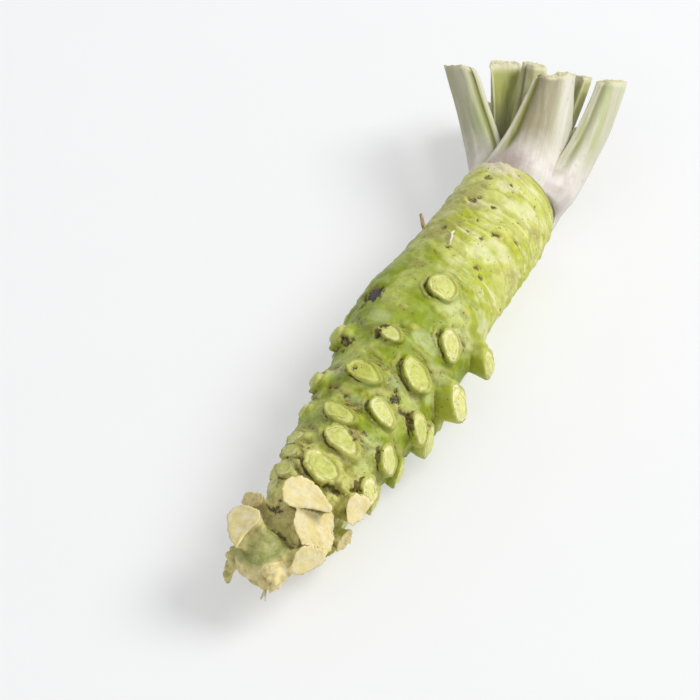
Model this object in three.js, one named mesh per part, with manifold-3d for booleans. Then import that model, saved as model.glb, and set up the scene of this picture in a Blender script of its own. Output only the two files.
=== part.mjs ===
// A fresh wasabi root lying on its side: a knobbly rhizome with the cut stubs of leaf stalks at the crown.
// Millimetres and degrees, +Z up. +X runs along the root from its torn tip to its crown and stalks.
import * as THREE from 'three';
import { mergeVertices } from 'three/addons/utils/BufferGeometryUtils.js';
import Module from 'manifold-3d';

const wasm = await Module();
wasm.setup();

// ---- Driving dimensions -------------------------------------------------------------------------------

const ROOT_TILT = 2; // the axis rises towards the crown
const TIP_HEIGHT = 15.8; // height of the axis at the tip, above the surface the root lies on
const GAP = 0.3; // clearance between the crown and each leaf stalk

// Thickness of the bare rhizome: distance along the axis, radius.
const BODY_RADII = [
  [0, 5.6], [3, 6.6], [7, 6.3], [11, 7.2], [16, 9], [22, 10.9], [30, 12.6], [40, 13.9], [50, 14.9],
  [60, 15.9], [70, 16.9], [80, 17.7], [90, 18.3], [100, 18.7], [110, 18.8], [120, 18.5], [130, 18.2], [140, 17.9],
  [150, 17.7], [158, 17.3], [164, 16.8], [168, 15.5], [170.7, 12.6], [172.2, 8], [172.7, 3],
];
const BODY_LENGTH = 172.7;
const CROWN_SLANT = 0.19; // the crown reaches further along on the left-hand side

// Gentle sideways bend of the axis: distance along, offset towards the right-hand side.
const BODY_BEND = [
  [0, 0], [20, 0.5], [40, 1.2], [70, 1], [95, 0], [112, -0.5], [130, 1.1], [150, 2.5], [172, 2.6],
];

// Shallow leaf-scar rings around the body, slanted and wavy, with a low ridge between each two.
const SCAR_PITCH = 6.2;
const SCAR_HEIGHT = 0.45;
const SCAR_SLANT = 2.2;
const SCAR_WAVE = 0.8;

// Broad swellings of the body: height, how many go around it, turn in radians for each millimetre along.
const SWELLINGS = [[0.35, 2, 0.09], [0.3, 3, -0.16]];

// The last stretch of the tip is torn to an uneven edge, with a coarse and a fine raggedness.
const TORN_END = 6;
const TORN_COARSE = 1.1;
const TORN_FINE = 0.7;

// Side buds, each trimmed with a knife to a flat oval: distance along the axis, angle around it (0 is up,
// 90 the right-hand side), breadth around, length along, height above the skin.
const SIDE_BUDS = [
  [106, 20, 9.5, 8.6, 2.4], [90.5, 51, 8.5, 7.4, 2.6], [73.5, 37, 10.5, 8.2, 3], [82.5, -2, 8.6, 6.6, 2],
  [81, -57, 8.6, 7.6, 3.2], [66, -5, 10.4, 7, 1.5], [63.5, -55, 7.6, 6.4, 2.2], [57, 31, 9, 6.2, 2.8],
  [50.5, -4, 9, 5.6, 2.2], [42, 13, 10.5, 6, 2.2], [32, 11, 11, 8.4, 2.4], [47, 64, 8.6, 6.4, 3],
  [64, 75, 8.4, 6, 2.8], [101, 94, 8.4, 7.6, 5.6], [80, 86, 9.8, 7.8, 5.6], [75, 108, 7.4, 6, 3],
  [67, 113, 7.6, 6.6, 3.4], [54.5, -63, 7.6, 5.4, 1.8], [41.5, -48, 8.4, 5, 1.6], [36, -41, 7.6, 4.6, 1.6],
  [29.5, -35, 8.2, 5, 1.8], [37, 71, 6.6, 4.8, 2.6], [95, -86, 7.6, 6.6, 2], [74, -98, 8, 6.6, 2.4],
  [47, -94, 7.8, 5.8, 1.4], [33, -88, 7.6, 5.6, 1.2], [53, 106, 7.8, 5.8, 1.8], [40, 104, 7.4, 5.4, 1.4],
  [120, -106, 7, 6, 2], [89, 124, 8, 6.6, 3.2], [112, 126, 7.6, 6.4, 2.6],
];

// Buds on the underside, which carry the root: the same five measures.
const RESTING_BUDS = [
  [122, 166, 10.5, 9, 3.6], [108, 196, 10.5, 8.6, 3.4], [98, 160, 9.6, 8, 3.4], [84, 190, 10, 8.4, 4],
  [72, 158, 9.4, 7.8, 4.4], [60, 184, 9.6, 8, 5.2], [132, 204, 9, 8, 3.8], [48, 154, 8.6, 6.8, 3.4],
  [44, 208, 8.6, 6.6, 3.6], [34, 178, 8.6, 6.6, 3.6], [92, 228, 8.6, 7.4, 3], [70, 222, 8.4, 7, 3],
  [112, 240, 8, 7, 2.4], [56, 236, 8.2, 6.4, 2.8], [28, 226, 8, 6.2, 3], [24, 140, 7.6, 6, 3.2],
];

// Small unopened buds near the crown, low domes: distance along, angle around, breadth, height.
const YOUNG_BUDS = [
  [137, 35, 4.4, 1.1], [127, 51, 3.6, 0.9], [146, -20, 3.8, 0.8], [121, 91, 4, 1.2], [140, 96, 4.2, 1],
  [132, -84, 4.4, 1.2], [150, 150, 4.2, 1], [143, -140, 4.4, 1.1], [155, 80, 3.6, 0.8], [127, -3, 4.4, 0.9],
];

// Thick offshoots cut or broken off near the tip: distance along, angle around, breadth, length, height
// above the skin, lean of the cut towards the tip and around the body, turn of its outline.
const OFFSHOOTS = [
  [21, 13, 14.5, 10.5, 4.6, 6, 0, -12], [13.5, 48, 12, 11.5, 5.6, 14, 0, 20],
  [11, 87, 12.4, 8, 4.6, 16, 8, 8], [28.5, 68, 9, 9.6, 4.4, 4, 0, 0], [24, 106, 7.6, 8, 3.4, 6, 0, 0],
  [8.4, -40, 12.4, 11, 6.6, 6, 15, 24], [20, -70, 7.4, 5.8, 4.4, 0, 10, 10],
  [14, -132, 9.6, 8, 4.2, 6, 0, 0], [16, 158, 8.6, 7.6, 3.4, 8, 0, 0],
];

// A strip of skin torn loose at the tip curls outwards: root, middle and end of the curl, and its girth.
const TORN_STRIP = {
  points: [[3, 4, 17.5], [1, 9.5, 17.5], [-2, 9.4, 11.5]], width: 3.6, thick: 2.2, taper: 0.55,
};

// Leaf stalks. Base: angle on the crown, and how far the sheath clasps to either side. Cut end: place across
// the fan (up, right), length, width, thickness, and turn of the stalk on itself. Between them: how fast the
// sheath narrows (flare), how early the stalk leans out (bow), how far the base swells outwards (swell).
// Start is where the blank begins, inside the crown for the outer stalks.
const CROWN_ALONG = 168.5;
const FAN_SWING = 15; // the fan of stalks leans to the left of the rhizome
const FAN_RISE = 4;
const SHEATH_RADIUS = 13.4; // inner face of the outer sheaths
const SHEATH_SPIRAL = 0.03; // each sheath closes in by this much per degree, to tuck one edge under the next
const SHEATH_THICK = 2.6;
const SHEATH_EDGE = 0.9; // the papery edges of a sheath
const STALK_EDGE = 1.5; // the margins of a stalk at its cut end
const STALK_CURL = 1.2; // radius of the hollow of a cut end, in stalk widths
const CUT_SLOPE = 0.72; // the knife went through the fan at a slant: upper stalks are cut shorter
const STALKS = [
  {
    name: 'leaf_stalk_left', base: -50, clasp: 36, up: 6, right: -28.4, length: 53, width: 12, thick: 5,
    turn: 46, flare: 2.6, bow: 0.95, swell: -1.2, start: -3.5,
  },
  {
    name: 'leaf_stalk_front', base: 30, clasp: 60, up: 14, right: 7.6, length: 46.5, width: 13.4, thick: 5.4,
    turn: 0, flare: 1.15, bow: 1.3, swell: 0.6, start: -3.5,
  },
  {
    name: 'leaf_stalk_right', base: 94, clasp: 42, up: 6, right: 26.5, length: 54.5, width: 10.8, thick: 5,
    turn: -22, flare: 1.05, bow: 1.7, swell: 2.4, start: -3.5,
  },
  {
    name: 'leaf_stalk_under_right', base: 156, clasp: 40, up: -17, right: 16, length: 58, width: 11.4,
    thick: 5, turn: 0, flare: 2, bow: 1.5, swell: 2.4, start: -4,
  },
  {
    name: 'leaf_stalk_under_left', base: 226, clasp: 44, up: -16, right: -13, length: 59, width: 12,
    thick: 5, turn: 0, flare: 1.8, bow: 1.2, swell: 0.6, start: -3.5,
  },
];
const INNER_SHEATH_RADIUS = 7.4;
const INNER_STALKS = [
  {
    name: 'leaf_stalk_inner_left', base: -104, clasp: 50, up: -1, right: -13, length: 64.5, width: 12,
    thick: 4.2, turn: -58, flare: 2, bow: 0.8, swell: 0, start: 1,
  },
  {
    name: 'leaf_stalk_inner_middle', base: 0, clasp: 50, up: 6, right: -2.5, length: 58, width: 10, thick: 4,
    turn: -20, flare: 2, bow: 1.3, swell: 0, start: 1,
  },
  {
    name: 'leaf_stalk_inner_right', base: 120, clasp: 50, up: 1, right: 15, length: 60, width: 8.6, thick: 4,
    turn: 48, flare: 2, bow: 1.2, swell: 0, start: 1,
  },
];
const HEART_STALK = {
  name: 'leaf_stalk_heart', up: -5, right: 3, length: 32, width: 6.4, thick: 4.4, taper: 0.25,
};

const FLESH = { skin: 0x9db33c, stalk: 0xc9c2b4, innerStalk: 0xb3b56a, heart: 0xbcc46e };

// ---- Frames -------------------------------------------------------------------------------------------

const radians = THREE.MathUtils.degToRad;
const tilt = radians(ROOT_TILT);
const AXIS = new THREE.Vector3(Math.cos(tilt), 0, Math.sin(tilt));
const UP = new THREE.Vector3(-Math.sin(tilt), 0, Math.cos(tilt));
const RIGHT = new THREE.Vector3(0, -1, 0);

// A smooth curve through a table of [place, value] rows.
function through(table, place) {
  const last = table.length - 1;
  if (place <= table[0][0]) return table[0][1];
  if (place >= table[last][0]) return table[last][1];
  const i = table.findIndex((row) => row[0] > place) - 1;
  const slope = (k) => {
    const [before, after] = [table[Math.max(k - 1, 0)], table[Math.min(k + 1, last)]];
    return (after[1] - before[1]) / (after[0] - before[0]);
  };
  const span = table[i + 1][0] - table[i][0];
  const t = (place - table[i][0]) / span;
  const [t2, t3] = [t * t, t * t * t];
  return (2 * t3 - 3 * t2 + 1) * table[i][1] + (t3 - 2 * t2 + t) * span * slope(i)
    + (3 * t2 - 2 * t3) * table[i + 1][1] + (t3 - t2) * span * slope(i + 1);
}

function axisPoint(along) {
  return new THREE.Vector3(0, 0, TIP_HEIGHT)
    .addScaledVector(AXIS, along)
    .addScaledVector(RIGHT, through(BODY_BEND, along));
}

// The two directions across an axis at an angle around it: straight out, and onwards around.
function directions(up, right, angle) {
  const out = up.clone().multiplyScalar(Math.cos(angle)).addScaledVector(right, Math.sin(angle));
  const round = up.clone().multiplyScalar(-Math.sin(angle)).addScaledVector(right, Math.cos(angle));
  return { out, round };
}

// ---- Blanks and solids --------------------------------------------------------------------------------

// Moves every vertex of a geometry to place(x, y, z), and merges the ones that then coincide.
function reshape(blank, place) {
  const points = blank.attributes.position;
  for (let i = 0; i < points.count; i++) {
    const moved = place(points.getX(i), points.getY(i), points.getZ(i));
    points.setXYZ(i, moved.x, moved.y, moved.z);
  }
  blank.deleteAttribute('normal');
  blank.deleteAttribute('uv');
  return mergeVertices(blank, 1e-4);
}

// A round blank of unit radius whose rings are placed by place(angle, ring, onRim).
function reshapeRings(sides, rings, place) {
  const blank = new THREE.CylinderGeometry(1, 1, 1, sides, rings);
  return reshape(blank, (x, y, z) => {
    const onRim = Math.hypot(x, z) > 0.5;
    return place(Math.atan2(x, z), Math.round((y + 0.5) * rings), onRim);
  });
}

function solidOf(geometry) {
  return new wasm.Manifold(new wasm.Mesh({
    numProp: 3,
    vertProperties: new Float32Array(geometry.attributes.position.array),
    triVerts: new Uint32Array(geometry.index.array),
  }));
}

function geometryOf(solid) {
  const mesh = solid.getMesh();
  const geometry = new THREE.BufferGeometry();
  geometry.setAttribute('position', new THREE.BufferAttribute(mesh.vertProperties, 3));
  geometry.setIndex(new THREE.BufferAttribute(mesh.triVerts, 1));
  geometry.computeVertexNormals();
  return geometry;
}

// ---- Rhizome body -------------------------------------------------------------------------------------

const BODY_SIDES = 28;
const BODY_RINGS = 54;
const END_CROWDING = 0.055; // crowds the rings towards both ends
const CROWN_EDGE = 8; // the skin is smooth over this last stretch before the crown's edge
const SLANTED_END = 22; // the crown's slant grows over this last stretch of the body

function bodyRadius(along, angle) {
  const lumps = SWELLINGS.map(([height, count, twist]) => height * Math.sin(count * angle + twist * along));
  const scarPlace = along + SCAR_SLANT * Math.sin(angle) + SCAR_WAVE * Math.sin(3 * angle);
  const ridge = SCAR_HEIGHT * (Math.sqrt(Math.abs(Math.sin(Math.PI * scarPlace / SCAR_PITCH))) - 1);
  const torn = Math.max(0, 1 - along / TORN_END);
  const ragged = torn * (TORN_COARSE * Math.sin(4 * angle + 0.8) + TORN_FINE * Math.sin(7 * angle));
  const skin = THREE.MathUtils.smoothstep(BODY_LENGTH - along, 1, CROWN_EDGE);
  return through(BODY_RADII, along) + skin * (lumps[0] + lumps[1] + ridge) + ragged;
}

// The bare body. The margin swells it evenly, to cut the stalks with a clearance.
function bodyGeometry(margin = 0) {
  return reshapeRings(BODY_SIDES, BODY_RINGS, (angle, ring, onRim) => {
    const t = ring / BODY_RINGS;
    const along = BODY_LENGTH * (t - END_CROWDING * Math.sin(2 * Math.PI * t));
    const { out } = directions(UP, RIGHT, angle);
    const radius = onRim ? bodyRadius(along, angle) + margin : 0;
    const nearCrown = THREE.MathUtils.smoothstep(BODY_LENGTH - along, SLANTED_END, CROWN_EDGE);
    const crownShift = nearCrown * (margin - CROWN_SLANT * radius * Math.sin(angle));
    return axisPoint(along).addScaledVector(out, radius).addScaledVector(AXIS, crownShift);
  });
}

// ---- Buds and offshoots -------------------------------------------------------------------------------

const BUD_SIDES = 10;
const YOUNG_BUD_SIDES = 6;
const OFFSHOOT_SIDES = 11;
const STRIP_SIDES = 6;
const BUD_TURN = 16; // the long way of every bud follows the leaf spiral
const BUD_LEAN = 4.5; // the cuts tip slightly towards the tip of the root
const BUD_UNEVEN = 0.03; // how far an outline strays from an ellipse
const OFFSHOOT_UNEVEN = 0.07;
const YOUNG_BUD_SHAPE = 0.8; // length as a part of breadth

// How a stub rises from inside the flesh to its cut: radius factor, height factor, height offset.
const BUD_PROFILE = [[1.3, 0, -2], [0.96, 0.3, 0], [1, 0.82, 0], [0.88, 1, 0]];
const OFFSHOOT_PROFILE = [[0.7, 0, -4], [0.86, 0.4, 0], [1, 0.88, 0], [0.95, 1, 0]];
const YOUNG_BUD_PROFILE = [[1.1, 0, -1], [0.86, 0.6, 0], [0.4, 1, 0]];

// A stub that stands on the body, built on its own frame: out of the skin, around the body, along the axis.
// Its cut leans by the given degrees towards the tip of the root and around the body.
function stubGeometry(stub, profile, sides, uneven) {
  const { along, around, breadth, length, height, turn = BUD_TURN, lean = 0, leanAround = 0 } = stub;
  const { out, round } = directions(UP, RIGHT, radians(around));
  const foot = axisPoint(along).addScaledVector(out, through(BODY_RADII, along));
  const [cosine, sine] = [Math.cos(radians(turn)), Math.sin(radians(turn))];
  return reshapeRings(sides, profile.length - 1, (side, ring, onRim) => {
    const [spread, rise, offset] = profile[ring];
    const ragged = 1 + uneven * (Math.sin(3 * side + along) + 0.6 * Math.sin(5 * side + 2 * along));
    const reach = onRim ? spread * ragged / 2 : 0;
    const wide = reach * Math.cos(side) * breadth;
    const long = reach * Math.sin(side) * length;
    const across = wide * cosine + long * sine;
    const onward = long * cosine - wide * sine;
    const leaning = Math.tan(radians(lean)) * onward - Math.tan(radians(leanAround)) * across;
    const up = height * rise + offset + (rise > 0 ? leaning : 0);
    return foot.clone()
      .addScaledVector(round, across)
      .addScaledVector(AXIS, onward)
      .addScaledVector(out, up);
  });
}

function budGeometry([along, around, breadth, length, height]) {
  const bud = { along, around, breadth, length, height, lean: BUD_LEAN };
  return stubGeometry(bud, BUD_PROFILE, BUD_SIDES, BUD_UNEVEN);
}

function youngBudGeometry([along, around, breadth, height]) {
  const bud = { along, around, breadth, length: breadth * YOUNG_BUD_SHAPE, height };
  return stubGeometry(bud, YOUNG_BUD_PROFILE, YOUNG_BUD_SIDES, 0);
}

function offshootGeometry([along, around, breadth, length, height, lean, leanAround, turn]) {
  const offshoot = { along, around, breadth, length, height, lean, leanAround, turn };
  return stubGeometry(offshoot, OFFSHOOT_PROFILE, OFFSHOOT_SIDES, OFFSHOOT_UNEVEN);
}

// The curled strip: a flat tapering blade along a curve of three points.
function tornStripGeometry({ points, width, thick, taper }) {
  const curve = new THREE.QuadraticBezierCurve3(...points.map((point) => new THREE.Vector3(...point)));
  const rings = 5;
  return reshapeRings(STRIP_SIDES, rings, (angle, ring, onRim) => {
    const t = ring / rings;
    const along = curve.getTangent(t);
    const flat = new THREE.Vector3().crossVectors(along, RIGHT).normalize();
    const edge = new THREE.Vector3().crossVectors(flat, along);
    const size = onRim ? (1 - taper * t) / 2 : 0;
    return curve.getPoint(t)
      .addScaledVector(flat, Math.cos(angle) * width * size)
      .addScaledVector(edge, -Math.sin(angle) * thick * size);
  });
}

// Everything below the surface that the root lies on is cut away, which flattens the buds that carry it.
function belowSurface() {
  const slab = { length: 3 * BODY_LENGTH, width: BODY_LENGTH, depth: BODY_LENGTH / 2 };
  const blank = new THREE.BoxGeometry(slab.length, slab.width, slab.depth);
  return solidOf(reshape(blank, (x, y, z) => new THREE.Vector3(x, y, z - slab.depth / 2)));
}

function rhizomeGeometry() {
  const stubs = [
    ...SIDE_BUDS.map(budGeometry),
    ...RESTING_BUDS.map(budGeometry),
    ...YOUNG_BUDS.map(youngBudGeometry),
    ...OFFSHOOTS.map(offshootGeometry),
    tornStripGeometry(TORN_STRIP),
  ];
  let rhizome = solidOf(bodyGeometry());
  for (const stub of stubs) rhizome = rhizome.add(solidOf(stub));
  return geometryOf(rhizome.subtract(belowSurface()));
}

// ---- Leaf stalks --------------------------------------------------------------------------------------

const ACROSS_STEPS = 8;
const ALONG_STEPS = 8;
const HEART_SIDES = 12;
const HEART_RINGS = 6;

const fanRise = Math.tan(radians(FAN_RISE));
const fanSwing = Math.tan(radians(FAN_SWING));
const FAN_AXIS = AXIS.clone().addScaledVector(UP, fanRise).addScaledVector(RIGHT, -fanSwing).normalize();
const FAN_UP = UP.clone().addScaledVector(FAN_AXIS, -UP.dot(FAN_AXIS)).normalize();
const FAN_RIGHT = new THREE.Vector3().crossVectors(FAN_UP, FAN_AXIS).negate();

// How full a sheath is across its width, from -1 to 1: its right-hand part stays thin under its neighbour.
function sheathFullness(u) {
  const leftHand = THREE.MathUtils.smoothstep(u, -1, -0.25);
  const rightHand = 1 - THREE.MathUtils.smoothstep(u, -0.15, 0.4);
  return Math.min(leftHand, rightHand);
}

function stalkFullness(u) {
  return 1 - THREE.MathUtils.smoothstep(Math.abs(u), 0.45, 1.05);
}

// One leaf stalk: a blank box whose width follows the arc of the sheath at the crown and flattens to the
// crescent of the cut end, and whose depth is the thickness of the flesh.
function stalkGeometry(stalk, radius, spiral) {
  const blank = new THREE.BoxGeometry(2, 1, 1, ACROSS_STEPS, 1, ALONG_STEPS);
  const baseAngle = radians(stalk.base);
  const topAngle = Math.atan2(stalk.right, stalk.up) + radians(stalk.turn);
  const swing = Math.atan2(Math.sin(topAngle - baseAngle), Math.cos(topAngle - baseAngle));
  return reshape(blank, (x, y, z) => {
    const [u, outer, t] = [-x, y > 0, z + 0.5];
    const spread = 1 - (1 - t) ** stalk.bow;
    const narrowing = 1 - (1 - t) ** stalk.flare;
    const { out, round } = directions(FAN_UP, FAN_RIGHT, baseAngle + swing * spread);
    const up = THREE.MathUtils.lerp(radius * Math.cos(baseAngle), stalk.up, spread);
    const right = THREE.MathUtils.lerp(radius * Math.sin(baseAngle), stalk.right, spread);
    const halfWidth = THREE.MathUtils.lerp(radius * radians(stalk.clasp), stalk.width / 2, narrowing);
    const curl = THREE.MathUtils.lerp(radius, stalk.width * STALK_CURL, narrowing);
    const bend = u * halfWidth / curl;
    const margin = THREE.MathUtils.lerp(SHEATH_EDGE, STALK_EDGE, narrowing);
    const middle = THREE.MathUtils.lerp(SHEATH_THICK, stalk.thick, narrowing);
    const fullness = THREE.MathUtils.lerp(sheathFullness(u), stalkFullness(u), narrowing);
    const depth = outer ? margin + (middle - margin) * fullness : 0;
    const tuck = -spiral * THREE.MathUtils.radToDeg(bend) * (1 - narrowing);
    const centring = stalk.swell * Math.sin(Math.PI * t ** 0.5) - narrowing * stalk.thick / 2;
    const outward = curl * (Math.cos(bend) - 1) + (depth + tuck) * Math.cos(bend) + centring;
    const onward = curl * Math.sin(bend) + (depth + tuck) * Math.sin(bend);
    const place = axisPoint(CROWN_ALONG)
      .addScaledVector(FAN_UP, up)
      .addScaledVector(FAN_RIGHT, right)
      .addScaledVector(out, outward)
      .addScaledVector(round, onward);
    const above = out.dot(FAN_UP) * outward + round.dot(FAN_UP) * onward;
    const reach = THREE.MathUtils.lerp(stalk.start, stalk.length, t) - CUT_SLOPE * t * above;
    return place.addScaledVector(FAN_AXIS, reach);
  });
}

// The short youngest stalk, a plain tapering stub in the middle of the crown.
function heartStalkGeometry({ up, right, length, width, thick, taper }) {
  return reshapeRings(HEART_SIDES, HEART_RINGS, (angle, ring, onRim) => {
    const t = ring / HEART_RINGS;
    const reach = onRim ? (1 - taper * t) / 2 : 0;
    return axisPoint(CROWN_ALONG)
      .addScaledVector(FAN_UP, up * t + reach * Math.cos(angle) * thick)
      .addScaledVector(FAN_RIGHT, right * t + reach * Math.sin(angle) * width)
      .addScaledVector(FAN_AXIS, length * t);
  });
}

// ---- Assembly -----------------------------------------------------------------------------------------

function flesh(name, geometry, color, roughness) {
  const material = new THREE.MeshStandardMaterial({ color, roughness, metalness: 0, flatShading: true });
  const mesh = new THREE.Mesh(geometry, material);
  mesh.name = name;
  return mesh;
}

const crownCutter = solidOf(bodyGeometry(GAP));
const trimmed = (geometry) => geometryOf(solidOf(geometry).subtract(crownCutter));

const root = new THREE.Group();
root.add(flesh('rhizome', rhizomeGeometry(), FLESH.skin, 0.55));
for (const stalk of STALKS) {
  const geometry = stalkGeometry(stalk, SHEATH_RADIUS, SHEATH_SPIRAL);
  root.add(flesh(stalk.name, trimmed(geometry), FLESH.stalk, 0.5));
}
for (const stalk of INNER_STALKS) {
  const geometry = stalkGeometry(stalk, INNER_SHEATH_RADIUS, 0);
  root.add(flesh(stalk.name, trimmed(geometry), FLESH.innerStalk, 0.5));
}
root.add(flesh(HEART_STALK.name, trimmed(heartStalkGeometry(HEART_STALK)), FLESH.heart, 0.5));

// The origin is under the middle of the root, on the surface that it lies on.
const box = new THREE.Box3().setFromObject(root);
root.position.set(-(box.min.x + box.max.x) / 2, -(box.min.y + box.max.y) / 2, -box.min.z);
root.updateMatrixWorld(true);

export default root;
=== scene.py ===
"""A fresh wasabi root lying on its side: a knobbly green rhizome with the cut stubs of its leaf stalks."""

import math
import random

import bpy
import numpy as np
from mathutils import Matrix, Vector


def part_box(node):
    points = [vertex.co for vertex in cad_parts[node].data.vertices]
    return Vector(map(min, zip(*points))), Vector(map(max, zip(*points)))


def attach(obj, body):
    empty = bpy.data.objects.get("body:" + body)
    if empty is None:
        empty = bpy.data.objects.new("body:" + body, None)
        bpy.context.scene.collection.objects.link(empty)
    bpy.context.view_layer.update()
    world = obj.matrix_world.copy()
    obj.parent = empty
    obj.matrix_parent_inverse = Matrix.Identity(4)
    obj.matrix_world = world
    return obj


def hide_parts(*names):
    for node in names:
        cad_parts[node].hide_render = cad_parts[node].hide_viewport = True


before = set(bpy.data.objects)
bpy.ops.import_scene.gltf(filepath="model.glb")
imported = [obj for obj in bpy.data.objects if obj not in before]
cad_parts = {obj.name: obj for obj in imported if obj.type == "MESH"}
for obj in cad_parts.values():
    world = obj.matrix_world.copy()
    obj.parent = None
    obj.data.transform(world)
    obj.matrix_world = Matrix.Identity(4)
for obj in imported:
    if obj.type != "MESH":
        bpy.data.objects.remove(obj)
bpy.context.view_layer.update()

MM = 0.001  # every size below is in millimetres, and is brought to metres as a piece is placed

# ---- Rhizome -------------------------------------------------------------------------------------------
# The swollen stem that is grated: one piece of crisp green flesh under a thin moist skin, ringed with the
# scars of old leaves. Side buds stand all round it, each trimmed with a knife to a pale oval, and thick
# offshoots were cut or broken off round the torn tip, which leaves rough cream faces.

TIP_IN_BOX = (2.7, 20.8, 15.8)  # the middle of the tip: from the box's low end, from its left side, and up
TILT = math.radians(2)  # the axis rises towards the crown
low_corner, high_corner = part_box("rhizome")
TIP = Vector((low_corner.x / MM + TIP_IN_BOX[0], high_corner.y / MM - TIP_IN_BOX[1], TIP_IN_BOX[2]))
AXIS = Vector((math.cos(TILT), 0, math.sin(TILT)))
UP = Vector((-math.sin(TILT), 0, math.cos(TILT)))
RIGHT = Vector((0, -1, 0))
# The bare body's radius, and how far its axis bends to the right, by distance from the tip.
BODY_RADII = [
    (0, 4.6), (1, 5.8), (4, 7.0), (8, 7.1), (12, 7.0), (16, 8.8), (22, 10.9), (30, 12.6), (40, 13.9),
    (50, 14.9), (60, 15.9), (70, 16.9), (80, 17.7), (90, 18.3), (100, 18.7), (110, 18.8), (120, 18.5),
    (130, 18.2), (140, 17.9), (150, 17.7), (158, 17.3), (164, 16.9), (167.4, 16.3), (169.2, 15),
    (170, 12.6), (170.6, 8),
]
BODY_BEND = [
    (0, 0), (20, 0.5), (40, 1.2), (70, 1), (95, 0), (112, -0.5), (130, 1.1), (150, 2.5), (172, 2.6),
]
BODY_SIDES = 24
ROUNDING = 2  # how many times an extruded tube is subdivided


def through(table, place):
    """The value at a place along a table of (place, value) rows."""
    return float(np.interp(place, *zip(*table)))


def axis_point(along):
    """The middle of the bare body at a distance from the tip."""
    return TIP + AXIS * along + RIGHT * through(BODY_BEND, along)


def near_tip_point(along, right, up):
    """A place given from the middle of the tip."""
    return TIP + AXIS * along + RIGHT * right + UP * up


def ways(around):
    """At degrees around the axis, the directions straight out and onwards around."""
    angle = math.radians(around)
    return UP * math.cos(angle) + RIGHT * math.sin(angle), RIGHT * math.cos(angle) - UP * math.sin(angle)


def local_frame(along, around):
    """A foot on the bare body, and the directions around and out there."""
    out, onwards = ways(around)
    return axis_point(along) + out * through(BODY_RADII, along), onwards, out


def mix(first, second, t):
    return first + (second - first) * t


def deselect():
    bpy.ops.object.select_all(action="DESELECT")


def start_editing():
    bpy.ops.object.mode_set(mode="EDIT")
    bpy.ops.mesh.select_all(action="SELECT")


def finish_editing():
    """Turns every face outwards, and leaves edit mode."""
    bpy.ops.mesh.select_all(action="SELECT")
    bpy.ops.mesh.normals_make_consistent(inside=False)
    bpy.ops.object.mode_set(mode="OBJECT")


def extrude(step):
    bpy.ops.mesh.extrude_region_move(TRANSFORM_OT_translate={"value": step})


def tube(name, sides, rings, facing):
    """A closed rounded tube, extruded through rings of (centre, radius). The first one faces a given way."""
    deselect()
    (centre, radius), onward = rings[0], rings[1:]
    bpy.ops.mesh.primitive_circle_add(
        vertices=sides, radius=radius * MM, fill_type="NGON", location=centre * MM,
        rotation=facing.to_track_quat("Z", "Y").to_euler(),
    )
    piece = bpy.context.object
    piece.name = name
    start_editing()
    for next_centre, next_radius in onward:
        extrude((next_centre - centre) * MM)
        bpy.ops.transform.resize(value=[next_radius / radius] * 3, center_override=next_centre * MM)
        centre, radius = next_centre, next_radius
    finish_editing()
    bpy.ops.object.transform_apply(location=True, rotation=True, scale=True)
    rounder = piece.modifiers.new("rounder", "SUBSURF")
    rounder.levels = rounder.render_levels = ROUNDING
    bpy.ops.object.modifier_apply(modifier=rounder.name)
    return piece


def points_of(piece):
    """Where a mesh's points are, a row for each."""
    flat = np.empty(len(piece.data.vertices) * 3, np.float32)
    piece.data.vertices.foreach_get("co", flat)
    return flat.reshape(-1, 3).astype(float)


def move_points(piece, place):
    """Puts a mesh's points at places given in millimetres."""
    piece.data.vertices.foreach_set("co", (place * MM).astype(np.float32).ravel())
    piece.data.update()


body_rings = [(axis_point(along), radius) for along, radius in BODY_RADII]
rhizome = tube("wasabi_rhizome", BODY_SIDES, body_rings, facing=AXIS)

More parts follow.
